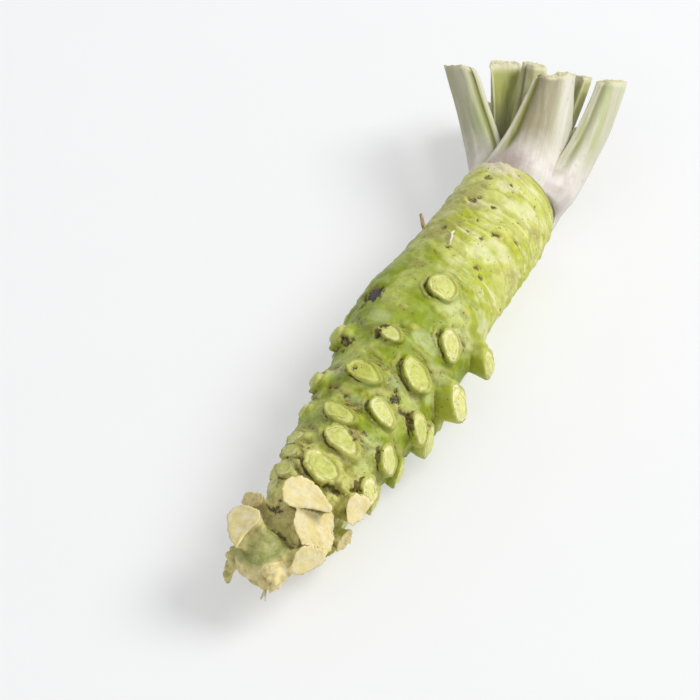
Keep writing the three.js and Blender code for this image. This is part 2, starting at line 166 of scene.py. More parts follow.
# Trimmed buds: distance along the axis, degrees around it (0 is up, 90 the right-hand side), breadth
# around, length along, height above the skin, how white the cut is, and how far its right end runs out.
TRIMMED_BUDS = [
    (106, 20, 9.3, 8.4, 1.5, 0.3, 0), (91.5, 53.5, 9.6, 7.4, 1.5, 0.8, 0),
    (74.5, 39.5, 11.2, 7.8, 1.8, 0.25, 0.25), (82.5, -2, 7.2, 5.0, 1.3, 0.5, 0.6),
    (82, -60, 9, 8.4, 4.0, 0.1, 0), (67, -7, 10.8, 6.2, 0.9, 0, 0.7), (64, -60, 8.4, 7.4, 3.4, 0.1, 0),
    (57.5, 32, 9, 5.8, 1.4, 0.6, 0.1), (51, -7, 9.6, 5.2, 1.1, 0.2, 0.8),
    (43, 11.5, 10.6, 6.2, 1.3, 0.4, 0.8), (32.5, 11, 10.8, 7.8, 1.3, 0.25, 0.2),
    (48.4, 69, 9, 6.4, 2.0, 0.7, 0), (64, 75, 8.6, 6, 2.3, 0.4, 0.2), (100.6, 93, 8.6, 7.6, 6.0, 0.6, 0),
    (80, 85, 11, 8.6, 6.6, 1, 0), (76, 106, 7.4, 5.6, 2.6, 0.1, 0), (66.3, 100, 9.4, 7.4, 4.2, 0.7, 0),
    (53.5, -66, 7.4, 5.6, 1.8, 0.3, 0), (41.5, -48, 8.4, 5, 0.8, 0.4, 0.3),
    (36, -41, 7.6, 4.6, 0.8, 0.4, 0.2), (29.5, -35, 8.2, 5, 0.9, 0.4, 0.3), (37, 73, 8.2, 6.2, 2.4, 1, 0),
    (95, -86, 7.6, 6.6, 1.8, 0.2, 0), (74, -98, 8, 6.6, 2.2, 0.4, 0.2), (47, -94, 7.8, 5.8, 1.4, 0.5, 0.3),
    (33, -88, 7.6, 5.6, 1.2, 0.6, 0), (53, 106, 7.8, 5.8, 2.4, 0.6, 0.2), (40, 104, 7.4, 5.4, 1.8, 0.8, 0),
    (120, -106, 7, 6, 1.8, 0.2, 0.2), (89, 124, 8, 6.6, 3.2, 0.5, 0), (112, 126, 7.6, 6.4, 2.6, 0.3, 0.2),
    (122, 166, 10.5, 9, 3.4, 0.3, 0), (108, 196, 10.5, 8.6, 3.2, 0.4, 0), (98, 160, 9.6, 8, 3.4, 0.6, 0.2),
    (84, 190, 10, 8.4, 4, 0.4, 0), (72, 158, 9.4, 7.8, 4.4, 0.5, 0), (60, 184, 9.6, 8, 5.2, 0.7, 0.1),
    (132, 204, 9, 8, 3.8, 0.2, 0), (48, 154, 8.6, 6.8, 3.4, 0.6, 0.3), (44, 208, 8.6, 6.6, 3.6, 0.5, 0),
    (34, 178, 8.6, 6.6, 3.6, 0.7, 0), (92, 228, 8.6, 7.4, 2.8, 0.3, 0.2), (70, 222, 8.4, 7, 2.8, 0.4, 0),
    (112, 240, 8, 7, 2.2, 0.2, 0), (56, 236, 8.2, 6.4, 2.6, 0.5, 0.2), (28, 226, 8, 6.2, 3, 0.6, 0),
    (24, 140, 7.6, 6, 3.2, 0.8, 0),
]
BUD_TURN = math.radians(16)  # the long way of every bud follows the leaf spiral
BUD_SIDES = 28

# One bud of unit size. Each ring gives its height, and how far it reaches to the tip, to the crown and to
# the sides: the trimmed face stands clear of the skin towards the tip, and runs into it towards the crown.
BUD_RINGS = [
    (-1.6, 1.1, 2.0, 1.4), (0, 0.98, 1.6, 1.14), (0.4, 0.94, 1.3, 1.04), (0.72, 0.98, 1.12, 1.01),
    (0.93, 1.0, 1.02, 1.0), (1, 0.94, 0.94, 0.94), (1.0, 0.62, 0.62, 0.62), (1.0, 0.3, 0.3, 0.3),
]
# By degrees around the body: how far a bud's face slopes down towards the crown and the right, how domed
# it is, and how far it is turned up again on the right-hand side.
STEEPEST = 0.38
BUD_SLOPE = [(-60, 0), (-30, STEEPEST), (50, STEEPEST), (80, 0.1), (300, 0.1)]
BUD_DOME = [(-62, 0.78), (-54, 0.3), (-35, 0.06), (80, 0.06), (94, 0.24), (300, 0.25)]
BUD_UPTURN = [(60, 0), (80, 0.42), (92, 0.36), (104, 0.36), (130, 0)]
LOWEST_FACE = 0.15  # part of its height below which no face slopes


def bud_face(across, onward, around, height):
    """Height of a bud's face at a place on it, given in parts of its half breadth and half length."""
    across, onward = np.clip(across, -1, 1), np.clip(onward, -1, 1)
    slope = through(BUD_SLOPE, around) * (0.55 * across + 0.75 * onward)
    slope = slope - through(BUD_UPTURN, around) * across
    dome = through(BUD_DOME, around) * (across ** 2 + onward ** 2)
    return height * np.maximum(1 - slope - dome, LOWEST_FACE)


def bud_outline(bearing, along, pointed):
    """How far a bud's rim reaches at a bearing on it, beside a plain oval."""
    uneven = 0
    for lobes, depth, start in ((2, 0.05, 1), (3, 0.05, 2.1), (5, 0.03, 3.3), (9, 0.02, 1.7)):
        uneven += depth * np.sin(lobes * bearing + start * along)
    return 1 + uneven + 0.42 * pointed * np.clip(np.cos(bearing), 0, 1) ** 3


deselect()
bpy.ops.mesh.primitive_circle_add(
    vertices=BUD_SIDES, radius=1, fill_type="NGON", location=(0, 0, BUD_RINGS[0][0])
)
bud = bpy.context.object
start_editing()
height, length, breadth, middle = BUD_RINGS[0][0], 1, 1, 0
for number, (ring_height, to_tip, to_crown, to_side) in enumerate(BUD_RINGS):
    if number:
        extrude((0, 0, ring_height - height))
    ring_length, ring_middle = (to_tip + to_crown) / 2, (to_crown - to_tip) / 2
    scale = (to_side / breadth, ring_length / length, 1)
    bpy.ops.transform.resize(value=scale, center_override=(0, middle, ring_height))
    bpy.ops.transform.translate(value=(0, ring_middle - middle, 0))
    height, length, breadth, middle = ring_height, ring_length, to_side, ring_middle
finish_editing()
bpy.ops.object.transform_apply(location=True, rotation=True, scale=True)

# Every bud is a copy of it, shaped to its own outline and slope, and bent to hug the body.
stubs = []
across_bud, along_bud, bud_rise = points_of(bud).T
for along, around, breadth, length, height, _, pointed in TRIMMED_BUDS:
    foot, onwards, out = local_frame(along, around)
    stub = bpy.data.objects.new("bud_stub", bud.data.copy())
    bpy.context.collection.objects.link(stub)
    reach = bud_outline(np.arctan2(along_bud, across_bud), along, pointed)
    wide, long = across_bud * breadth / 2 * reach, along_bud * length / 2 * reach
    across = wide * math.cos(BUD_TURN) + long * math.sin(BUD_TURN)
    onward = long * math.cos(BUD_TURN) - wide * math.sin(BUD_TURN)
    hug = across * across / (2 * through(BODY_RADII, along)) * np.clip(1.25 - bud_rise, 0, 1)
    rise = bud_rise * bud_face(across_bud, along_bud, around, height) - hug
    along_ways = np.outer(across, onwards), np.outer(onward, AXIS), np.outer(rise, out)
    move_points(stub, sum(along_ways, np.array(foot)))
    stubs.append(stub)
bpy.data.objects.remove(bud)

# Offshoots: distance along, degrees around, height, lean of the cut towards the tip and around the body,
# how old and brown the cut is, how dark the painted shade in the hollow under its lower right side is, and
# the outline of its face as (around, along) from the middle.
OFFSHOOTS = [
    (21, 13, 4.8, 6, 5.5, 0.1, 0, [
        (-6.6, 0.2), (-5.6, 2.6), (-3.2, 4.2), (0, 4.6), (3.1, 3.6), (6, 2.4), (8.4, 0.9), (8.9, -0.9),
        (6.9, -1.7), (4.1, -2.6), (1.2, -4.4), (-1.3, -5.8), (-3.9, -5.2), (-5.9, -2.6),
    ]),
    (13.5, 48, 4.2, 8, 0, 0.2, 0.2, [
        (-7.6, 1.4), (-7.5, 3.8), (-6, 7.4), (-3.4, 10), (0.4, 10.4), (3, 9.9), (4.8, 7.9), (7.1, 5.2),
        (8.3, 2.1), (8.1, 0.2), (6.2, -0.6), (3.2, -2.4), (0.6, -3.6), (-3.2, -2.6), (-6.2, -1.2),
    ]),
    (9, 82, 5.2, 27, -13, 0.15, 0.1, [
        (-4.8, -4), (-6.7, -2.5), (-7.4, -0.1), (-5.2, 2.6), (-2.5, 4.4), (0, 4.5), (1.5, 4), (2.5, 2.2),
        (1.6, -1.3), (0.3, -4.6), (-2.1, -6.3),
    ]),
    (28.5, 68, 4.6, 4, 0, 0.2, 0.4, [
        (-5, -1.5), (-4.5, 2), (1, 5), (3.5, 4), (4.5, 0.5), (2.5, -4.5), (0, -5.5), (-4, -3.5),
    ]),
    (24, 100, 4, 10, -15, 0.6, 0.6, [
        (-3.1, 1.4), (-0.6, 2.5), (2.4, 1.1), (2.3, -2.4), (0.2, -5.6), (-2.1, -4.6), (-3.4, -1.5),
    ]),
    (8.4, -40, 6.6, 6, 15, 0.1, 0.4, [
        (-6.3, 0.9), (-6.3, 4), (-3, 5.4), (1, 4.9), (4, 3.7), (5.2, 1.5), (5.2, -0.6), (3.9, -2.6),
        (2.8, -6.2), (2.4, -9.6), (-1.3, -6.8), (-3.8, -3.6),
    ]),
    (16, -58, 5, 22, 25, 0.5, 0.4, [
        (-2.8, 1), (-2.6, 2.8), (-0.8, 4), (2, 4), (4.5, 2.8), (5, 1), (3.6, -0.8), (0.6, -1.2),
        (-1.8, -0.6),
    ]),
    (14, -132, 4.2, 6, 0, 0.3, 0.3, [
        (-4.5, -1), (-3, 3), (1, 4), (4.6, 1.5), (3, -3), (-1, -4),
    ]),
    (16, 158, 3.4, 8, 0, 0.4, 0.3, [
        (-4, -1.5), (-3, 2.5), (1, 3.8), (4, 1.5), (3, -2.5), (-0.5, -3.6),
    ]),
]
# The steps in which an offshoot is extruded down: part of its height, size of the ring, depth below that.
OFFSHOOT_STEPS = [(0.12, 1.0, 0), (0.2, 0.9, 0), (0.68, 0.8, 0), (0.5, 0.9, 3)]


def leaning_cut(lean, lean_around, onward, across):
    """How much higher a leaning cut is at a place on it than in its middle."""
    return math.tan(math.radians(lean)) * onward - math.tan(math.radians(lean_around)) * across


for along, around, height, lean, lean_around, _, _, outline in OFFSHOOTS:
    foot, onwards, out = local_frame(along, around)
    deselect()
    bpy.ops.mesh.primitive_circle_add(vertices=len(outline), radius=1, fill_type="NGON")
    stub = bpy.context.object
    for vertex, (across, onward) in zip(stub.data.vertices, outline):
        rise = height + leaning_cut(lean, lean_around, onward, across)
        vertex.co = (foot + onwards * across + AXIS * onward + out * rise) * MM
    start_editing()
    depth = 0
    for part, size, sunk in OFFSHOOT_STEPS:
        step_down = part * height + sunk
        depth += step_down
        extrude(-out * step_down * MM)
        bpy.ops.transform.resize(value=[size] * 3, center_override=(foot + out * (height - depth)) * MM)
    finish_editing()
    stubs.append(stub)

# Layers of flesh that tore apart at the very tip: distance along, degrees around and radius of the root and
# of the end of each, with half its width and half its thickness.
TORN_LAYERS = [
    ((7, 50, 6.9), (3.0, 55, 8.1), 2.0, 0.75), ((6, 71, 6.8), (0.8, 78, 7.7), 2.3, 0.8),
    ((6, 93, 6.5), (-1.2, 98, 6.6), 2.3, 0.8), ((5.4, 56, 6.8), (-2.2, 68, 6.9), 2.3, 0.9),
    ((5, 82, 5), (-2.8, 90, 5.7), 2.1, 0.8), ((5, 108, 5.2), (-2.4, 113, 5.3), 2.0, 0.8),
    ((4.6, 42, 6.6), (-2.6, 52, 6.0), 2.2, 0.9), ((4, 14, 5.2), (-0.4, 10, 5.0), 2.4, 0.9),
    ((4, -22, 5.4), (-0.6, -25, 5.4), 2.4, 0.9), ((4, -60, 5.4), (-0.4, -60, 5.8), 2.2, 1.0),
    ((4, 150, 5.2), (-0.8, 150, 5.0), 2.6, 1.0), ((4, -100, 5.2), (-0.4, -102, 5.2), 2.4, 1.0),
    ((4, -150, 5.2), (-0.2, -150, 5.0), 2.6, 1.0), ((4, 32, 5.8), (-2.0, 36, 5.6), 2.0, 1.0),
    ((3, 70, 2), (-3.0, 76, 2.8), 2.4, 1.6), ((3, -30, 2), (-1.8, -20, 2.4), 3, 2.2),
]
# How far up from the tip the torn flesh reaches, from the left side to the right.
TORN_EDGE = [(-7, 0.2), (-4, -0.7), (-1.5, -1.8), (0.5, -1.4), (2.5, 0.8), (5, 4.2), (7, 3.4)]
# A strip of skin that curled away: places as (along, right, up) from the middle of the tip, half the width
# there, and which way it is broad.
TORN_STRIP = [
    ((5.8, -4.4, 0.8), 2.8, AXIS), ((4.2, -6.8, 2.2), 2.8, AXIS), ((2.4, -8.4, 2.2), 2.7, AXIS + RIGHT),
    ((0.8, -8.9, 0.6), 2.4, RIGHT), ((-0.8, -8.7, -1.8), 2.0, RIGHT), ((-2.2, -8.4, -4.6), 1.3, RIGHT),
]
STRIP_THICK = 0.7
# The neck between the offshoots swells to a smooth knob: its place from the tip, and its size.
KNOB_PLACE, KNOB_SIZE = (6.2, -2.0, 2.0), (8.4, 7.4, 7.2)


def lump(shaped, segments=14, ring_count=10):
    """A ball whose points are taken from the unit ball to their places by a function."""
    deselect()
    bpy.ops.mesh.primitive_uv_sphere_add(segments=segments, ring_count=ring_count, radius=1)
    ball = bpy.context.object
    for vertex in ball.data.vertices:
        vertex.co = shaped(*vertex.co) * MM
    stubs.append(ball)


for (along, around, radius), (end, end_around, end_radius), width, thick in TORN_LAYERS:
    out, onwards = ways(end_around)
    start = axis_point(along) + ways(around)[0] * radius
    finish = axis_point(end) + out * end_radius
    lump(lambda x, y, z: start.lerp(finish, (x + 1) / 2) + onwards * y * width
         + out * (z * thick - 0.25 * y ** 2))
for (first, first_width, first_way), (second, second_width, _) in zip(TORN_STRIP, TORN_STRIP[1:]):
    start = near_tip_point(*first)
    reach = near_tip_point(*second) - start
    face = reach.cross(first_way).normalized()
    broad_way = face.cross(reach).normalized()
    lump(lambda x, y, z: start + reach * (0.5 + 0.95 * x)
         + broad_way * y * mix(first_width, second_width, (x + 1) / 2) + face * z * STRIP_THICK)
lump(lambda x, y, z: near_tip_point(*KNOB_PLACE) + AXIS * x * KNOB_SIZE[0] + RIGHT * y * KNOB_SIZE[1]
     + UP * z * KNOB_SIZE[2], segments=24, ring_count=16)

# The body and all its stubs become one skin.
SKIN_VOXEL = 0.57
deselect()
for piece in (rhizome, *stubs):
    piece.select_set(True)
bpy.context.view_layer.objects.active = rhizome
bpy.ops.object.join()
rhizome.data.remesh_voxel_size = SKIN_VOXEL * MM
bpy.ops.object.voxel_remesh()
start_editing()
bpy.ops.mesh.vertices_smooth(factor=0.5, repeat=1)
bpy.ops.object.mode_set(mode="OBJECT")

# The skin is worked over as a sculptor would: every point of it is moved along its normal, and each kind of
# surface is marked with a mask for the colours.
places = points_of(rhizome) / MM
skin_size = len(places)
normals = np.empty(skin_size * 3, np.float32)
rhizome.data.vertex_normals.foreach_get("vector", normals)
normals = normals.reshape(-1, 3).astype(float)
from_tip = places - np.array(TIP)
along_skin = from_tip @ np.array(AXIS)
side_skin = from_tip @ np.array(RIGHT) - np.interp(along_skin, *zip(*BODY_BEND))
up_skin = from_tip @ np.array(UP)
angle_skin = np.arctan2(side_skin, up_skin)


def ease(values, start, end):
    """0 before start, 1 after end, and smooth between; start may be the larger."""
    t = np.clip((values - start) / (end - start), 0, 1)
    return t * t * (3 - 2 * t)


def line_at(values, place, outer, inner):
    """1 within the inner distance of a place, and 0 beyond the outer one."""
    return ease(np.abs(values - place), outer, inner)


def mottle(points, size, seed):
    """Smooth noise, mostly from -1 to 1, with patches of about the given size in millimetres."""
    scaled = points / size + seed * 17.3
    cell = np.floor(scaled).astype(np.int64)
    inside = scaled - cell
    blend = inside ** 3 * (inside * (inside * 6 - 15) + 10)
    total = np.zeros(len(points))
    for corner in np.ndindex(2, 2, 2):
        key = (cell + corner) @ np.array((73856093, 19349663, 83492791))
        key = (key ^ (key >> 13)) * 1274126177 & 0xFFFFFFFF
        key ^= key >> 16
        slopes = np.stack([key & 1023, key >> 10 & 1023, key >> 20 & 1023], axis=1) / 511.5 - 1
        weights = np.where(corner, blend, 1 - blend).prod(axis=1)
        total += weights * ((inside - corner) * slopes).sum(axis=1)
    return total * 2.2


def keep(piece, **masks):
    """Keeps masks on a piece's points, where its material reads them by name."""
    for name, values in masks.items():
        kind, field = ("FLOAT", "value") if values.ndim == 1 else ("FLOAT_VECTOR", "vector")
        flat = values.astype(np.float32).ravel()
        piece.data.attributes.new(name, kind, "POINT").data.foreach_set(field, flat)


def skin_from(along, around, near=slice(None)):
    """Offsets of the skin's points from a foot on the body: across, onward, above, and straight there."""
    foot, onwards, out = local_frame(along, around)
    offset = places[near] - np.array(foot)
    return *(offset @ np.array(way) for way in (onwards, AXIS, out)), np.linalg.norm(offset, axis=1)


def mark(name, values, near=slice(None)):
    """Raises a mask of the skin to the values given."""
    marks[name][near] = np.maximum(marks[name][near], values)


broad, medium, small, fine = (
    mottle(places, size, seed) for size, seed in ((11, 1), (5, 2), (2.3, 3), (1.1, 5))
)
marks = {name: np.zeros(skin_size) for name in (
    "cut_face", "whiteness", "ring_place", "flank", "leaf_trace", "old_scale", "crevice", "cream_cut",
    "old_cut", "rooting_bud", "dark_speck",
)}
relief = np.zeros(skin_size)
LOWER_LEFT = math.radians(236)  # the bearing on a bud under which its old scale leaf sat
MERGING_SIDE = math.radians(50)  # and the one where its face runs into the skin
RIGHT_HAND = 78  # buds further around than this have only faint gullies
for along, around, breadth, length, height, white, pointed in TRIMMED_BUDS:
    foot, _, out = local_frame(along, around)
    from_middle = np.linalg.norm(places - np.array(foot + out * height / 2), axis=1)
    near = np.where(from_middle < breadth * 1.5)[0]
    across, onward, above, _ = skin_from(along, around, near)
    wide = across * math.cos(BUD_TURN) - onward * math.sin(BUD_TURN)
    long = onward * math.cos(BUD_TURN) + across * math.sin(BUD_TURN)
    bearing = np.arctan2(long * breadth, wide * length)
    reach = np.hypot(wide / breadth, long / length) * 2 / bud_outline(bearing, along, pointed)
    # The trimmed face.
    facing = normals[near] @ np.array(out)
    rim = bud_face(wide * 2 / breadth, long * 2 / length, around, height) - 0.05
    top = ease(above, rim - 0.75, rim - 0.35) * ease(facing, 0.5, 0.8)
    merging = 0.1 * ease(np.cos(bearing - MERGING_SIDE), 0.2, 0.9) * through(BUD_SLOPE, around) / STEEPEST
    face = top * ease(reach + 0.05 * small[near], 1.06 - merging, 0.93 - 2 * merging)
    mark("cut_face", face, near)
    for name, value in (("whiteness", white), ("ring_place", reach)):
        marks[name][near] = np.where(reach < 1.2, value, marks[name][near])
    # The gully on the lower left, painted dark as the shade that falls there, and the dry lip of the old
    # scale leaf under it.
    below = ease(above, rim - 0.3, rim - 1.0) * (1 - face)
    lower_left = ease(np.cos(bearing - LOWER_LEFT), 0.15, 0.75)
    hatched = ease(fine[near] + 0.7 * small[near], -0.9, 0.1)
    line = line_at(reach, 1.06 + 0.05 * small[near], 0.17, 0.06)
    lip = lower_left * below * hatched * line_at(reach, 1.3 + 0.08 * small[near], 0.14, 0.04)
    outer_line = 0.5 * line_at(reach, 1.45 + 0.08 * small[near], 0.1, 0.03) * ease(medium[near], -0.4, 0.3)
    gully = lower_left * below * hatched * np.maximum(line, outer_line) * ease(above, 2.4, 1.2)
    mark("crevice", gully * (0.4 if around > RIGHT_HAND else 1), near)
    mark("old_scale", lip, near)
    # Its wall, and the brown trace of the leaf that grew over it.
    mark("flank", ease(reach, 1.3, 1.0) * ease(above, 0, height * 0.4) * (1 - face), near)
    trace = np.hypot((wide - 0.14 * breadth) / (0.42 * breadth), (long - 0.58 * length - 1.4) / 1.4)
    trace = ease(trace + 0.5 * small[near] + 0.5 * fine[near], 1.25, 0.5) * ease(above, rim + 0.5, rim)
    mark("leaf_trace", trace * (0.35 + 0.65 * (along * 0.37 % 1)) * (1 - face), near)
    ring_lines = 0.12 * np.sin(reach * 13 + 1.4 * medium[near]) + 0.16 * small[near] + 0.2 * medium[near]
    ring_lines += 0.25 * line_at(reach, 0.45, 0.3, 0.1)
    swollen = 1.15 * np.exp(-((reach / 1.65) ** 2)) * ease(above, -3, 0)
    relief[near] += face * ring_lines + (1 - face) * (swollen - 0.3 * trace + 0.4 * lip)

# An offshoot's hollow is painted dark as shade on the side this far from the right towards the tip.
DIRTY_SIDE = 0.8  # radians from the right towards the tip
insides = []
for along, around, height, lean, lean_around, age, dirt, outline in OFFSHOOTS:
    _, onwards, out = local_frame(along, around)
    across, onward, above, _ = skin_from(along, around)
    level = above - leaning_cut(lean, lean_around, onward, across)
    middle_across, middle_onward = np.mean(outline, axis=0)
    bearings = np.arctan2(*(np.array([(y - middle_onward, x - middle_across) for x, y in outline]).T))
    reaches = np.array([math.hypot(x - middle_across, y - middle_onward) for x, y in outline])
    order = np.argsort(bearings)
    bearing = np.arctan2(onward - middle_onward, across - middle_across)
    edge = np.interp(bearing, bearings[order], reaches[order], period=2 * math.pi)
    reach = np.hypot(across - middle_across, onward - middle_onward) / edge
    reach += (above < -2) * 9  # the far side of the body is out of reach
    tilted = out - AXIS * math.tan(math.radians(lean)) + onwards * math.tan(math.radians(lean_around))
    facing = normals @ (np.array(tilted) / np.linalg.norm(np.array(tilted)))
    face = ease(level, height - 0.9, height - 0.4) * ease(reach, 1.25, 1.08) * ease(facing, 0.45, 0.7)
    mark("cream_cut", face)
    mark("old_cut", face * age)
    on_wall = ease(level, height - 0.25, height - 0.7) * (1 - face)
    mark("crevice", 0.3 * on_wall * line_at(reach, 1.08, 0.2, 0.08) * ease(level, height - 3, height - 2))
    # The shade in the hollow under its lower right side is painted dark.
    hollow = ease(np.cos(bearing + DIRTY_SIDE), 0.2, 0.8) * ease(reach, 1.45, 1.15) * ease(above, -1, 0.5)
    mark("crevice", dirt * hollow * on_wall)
    insides.append(ease(reach, 1.3, 1.15) * ease(level, height - 3.8, height - 2.6))
cut, cream_cut, crevice = (marks[name] for name in ("cut_face", "cream_cut", "crevice"))
# Where two offshoots stand against each other, a seam runs between them, painted dark as shade.
seam = np.sort(insides, axis=0)[-2] * ease(cream_cut, 0.98, 0.4)
torn_edge = np.interp(side_skin, *zip(*TORN_EDGE)) + 0.8 * medium + 0.4 * small
torn = ease(along_skin - torn_edge, 1, -1) * ease(side_skin, -7.6, -6.6)
mark("cream_cut", torn)
mark("old_cut", torn * ease(small + medium, -0.4, 0.9) * 0.55)

# Dry edges of old scale leaves that stand up from the skin, with painted shade under them: places along each
# as (distance along, degrees around), and how tall it is.
OLD_SCALES = [
    ([(28.5, 15), (30, 27), (31, 40), (31.5, 52), (29.5, 57)], 1.1),
    ([(26.5, 64), (23.5, 72), (19, 80)], 1.1), ([(34.5, -39), (37.5, -28), (37, -13)], 0.7),
    ([(35, 59), (36.5, 72), (38, 90)], 0.8), ([(32.5, -31), (30.5, -18), (29.5, -6)], 0.7),
    ([(12.5, -6), (12, 24), (10.5, 45), (8, 60)], 0.8), ([(76, -14), (75, -5), (74.5, 3)], 0.5),
    ([(83, 25), (82.5, 34), (83, 44)], 0.4), ([(61, 10), (63, 19), (64.5, 28)], 0.6),
    ([(81.5, 54), (84.5, 63), (87, 76)], 0.5), ([(60, -20), (59, -7)], 0.5),
    ([(64, 48), (64.5, 60), (63.5, 70)], 0.8), ([(37, -24), (36.5, -12)], 0.5),
    ([(47, 9), (47.5, 18), (47.5, 25)], 0.6), ([(55, 66), (53.5, 74), (56, 84)], 0.7),
    ([(100, 50), (101, 58)], 0.4), ([(24, 150), (26, 175), (25, 200)], 0.8),
    ([(46, 170), (47, 186), (45, 200)], 0.6), ([(90, 140), (91, 160)], 0.5),
]
# The shade under such an edge is painted dark.
UNDERSIDE = 1.4  # the dark underside of such an edge is the same line, this much nearer the tip
uncut = 1 - np.maximum(cut, cream_cut)
on_body = ease(np.hypot(side_skin, up_skin) - np.interp(along_skin, *zip(*BODY_RADII)), 3.2, 2.0) * uncut
for scale_line, height in OLD_SCALES:
    for first, second in zip(scale_line, scale_line[1:]):
        start, finish = (np.array(local_frame(*end)[0]) for end in (first, second))
        run = finish - start
        offset = places - start
        nearest = offset - np.outer(np.clip(offset @ run / (run @ run), 0, 1), run)
        straight = np.linalg.norm(nearest, axis=1)
        ahead = nearest @ np.array(AXIS)
        level = np.sqrt(np.maximum(straight ** 2 - (nearest @ np.array(local_frame(*first)[2])) ** 2, 0))
        ragged = 0.25 * small + 0.2 * fine
        close = (straight < 4) * on_body
        edge = ease(level + ragged, 1.2, 0.5) * close
        below = np.sqrt(level ** 2 + 2 * UNDERSIDE * ahead + UNDERSIDE ** 2)
        under = ease(below + ragged, 1.1, 0.5) * close
        mark("old_scale", edge * min(height + 0.2, 1))
        mark("crevice", under * min(height, 0.9) * ease(fine + small, -1.2, -0.2))
        relief += 0.45 * height * edge - 0.3 * height * under

# Old leaf scars: slanted wavy steps all round, broken up by patches, and closer together near the crown.
SCAR_PITCH, CROWN_PITCH = 6.2, 4.8
in_body = np.column_stack([along_skin, side_skin, up_skin])
on_knob = np.linalg.norm((in_body - np.array(KNOB_PLACE)) / np.array(KNOB_SIZE), axis=1)
on_knob = ease(on_knob + 0.08 * medium, 1.2, 1.0) * uncut
at_crown = ease(along_skin, 104, 132)
at_tip = ease(along_skin, 70, 30)
slanted = along_skin + 2.2 * np.sin(angle_skin) + 0.8 * np.sin(3 * angle_skin) + 2 * broad
scar = np.abs(np.sin(math.pi * (slanted / SCAR_PITCH))) ** 0.6
slanted = along_skin + 3.2 * np.sin(angle_skin + 0.5) + 1.2 * np.sin(5 * angle_skin)
slanted = slanted + 1.4 * medium + 2.4 * broad
part_turn = slanted / CROWN_PITCH % 1
crown_step = np.minimum(part_turn / 0.75, (1 - part_turn) / 0.25)
crossing = np.abs(np.sin((along_skin * 0.8 - angle_skin * 9 + 2 * medium + broad) * 1.3)) ** 0.7
broken = ease(medium + 0.5 * broad, -0.5, 0.3)
relief += uncut * (1 - 0.5 * marks["flank"]) * (
    0.36 * (scar - 0.8) * (0.3 + 0.7 * broken) * (1 - 0.6 * at_crown)
    + 0.5 * (crown_step - 0.5) * at_crown * (0.15 + 0.85 * broken)
    + 0.16 * (crossing - 0.6) * at_crown
    - 0.3 * (1 - at_crown)
    + (0.34 + 0.3 * at_tip) * medium
    + (0.13 + 0.14 * at_tip) * small
    + 0.05 * fine
) * (1 - 0.7 * on_knob)
relief -= crevice * (0.4 + 0.2 * fine)
relief += cream_cut * (0.2 * medium + 0.12 * small + 0.05 * fine) + marks["old_cut"] * 0.25 * fine

# Low rooting buds and specks: distance along, degrees around, radius, height (a speck is sunk in).
ROOTING_BUDS = [
    (137, 35, 2.1, 0.9), (127, 51, 1.8, 0.6), (146, -20, 1.6, 0.35), (121, 91, 2.1, 1.1),
    (140, 96, 2.1, 0.8), (132, -84, 2.2, 1), (150, 150, 2.1, 0.9), (143, -140, 2.2, 1), (155, 80, 1.6, 0.4),
    (127, -3, 1.8, 0.4), (105, 50, 1.7, 0.7), (94, -3, 1.2, 0.5), (88.5, 15, 1.6, 0.3),
    (114, 46.5, 1.4, 0.4), (115.5, 26, 1.3, 0.4), (98, 33, 1.2, 0.3), (70, 16, 1.5, 0.3), (60, 8, 1.6, 0.3),
    (74, 12, 1.2, 0.3), (52, 16, 1.4, 0.4),
]
DARK_SPECKS = [
    (98.4, -43.5, 4.4, 0.8), (94, -53, 1.5, 0.5), (17.5, -24, 1.7, 0.4), (20, -20, 1.2, 0.3),
    (64.5, 38.5, 2.1, 0.6), (67, 33, 1.0, 0.5), (121.5, 90.5, 1.4, 0.4), (121, 36, 1.2, 0.4),
    (119.6, 44, 1.2, 0.4), (136.2, 31, 1.5, 0.5), (84, -9, 1.6, 0.4), (81.5, -12, 1.6, 0.5),
    (67, -15, 1.3, 0.5), (79, -46, 2.2, 0.5), (76, -50, 1.2, 0.4), (60.5, -39, 1.9, 0.5),
    (81.5, -14, 1.8, 0.5), (157.5, -14, 1.6, 0.4), (146.5, -16, 1.7, 0.4), (148, -9, 1.1, 0.3),
    (145.5, 11, 1.2, 0.4), (137.5, 5, 1.0, 0.3), (132, 4, 1.0, 0.4), (131.5, 21, 1.1, 0.4),
    (146, 41, 1.0, 0.3), (131.5, -20, 1.3, 0.3), (123, -2, 1.5, 0.4), (158, 45, 1.0, 0.3),
    (158, 11, 0.9, 0.3), (140, 52, 1.1, 0.3), (66, -54, 1.2, 0.4), (45, 24, 1.1, 0.4), (58, -12, 0.8, 0.3),
    (108, 4, 0.9, 0.3), (49, 30, 0.9, 0.3), (26, 36, 1.2, 0.5),
]
FAINT_FROM = 120  # further along than this, near the crown, specks and dashes are fainter
BLEMISH = 4  # a speck wider than this is a black blemish
for along, around, radius, height in ROOTING_BUDS:
    across, onward, _, far = skin_from(along, around)
    reach = np.hypot(onward, across * 0.8) / radius
    here = far < 3 * radius
    dome = ease(reach, 1.05, 0.3) * here
    moat = ease(reach, 0.8, 1.05) * ease(reach, 1.5, 1.1) * here
    relief += height * dome * uncut - 0.15 * moat * uncut
    mark("rooting_bud", dome)
frayed = 0.4 * small + 0.55 * fine
for along, around, radius, depth in DARK_SPECKS:
    across, onward, _, far = skin_from(along, around)
    reach = np.hypot(onward * 1.25, across * 0.85) / radius + frayed * min(1, 2 / radius)
    spot = ease(reach, 1.05, 0.45) * (far < 3 * radius)
    darkness = 0.86 if along > FAINT_FROM else 1.3 if radius > BLEMISH else 1
    mark("dark_speck", spot * darkness)
    relief -= depth * spot

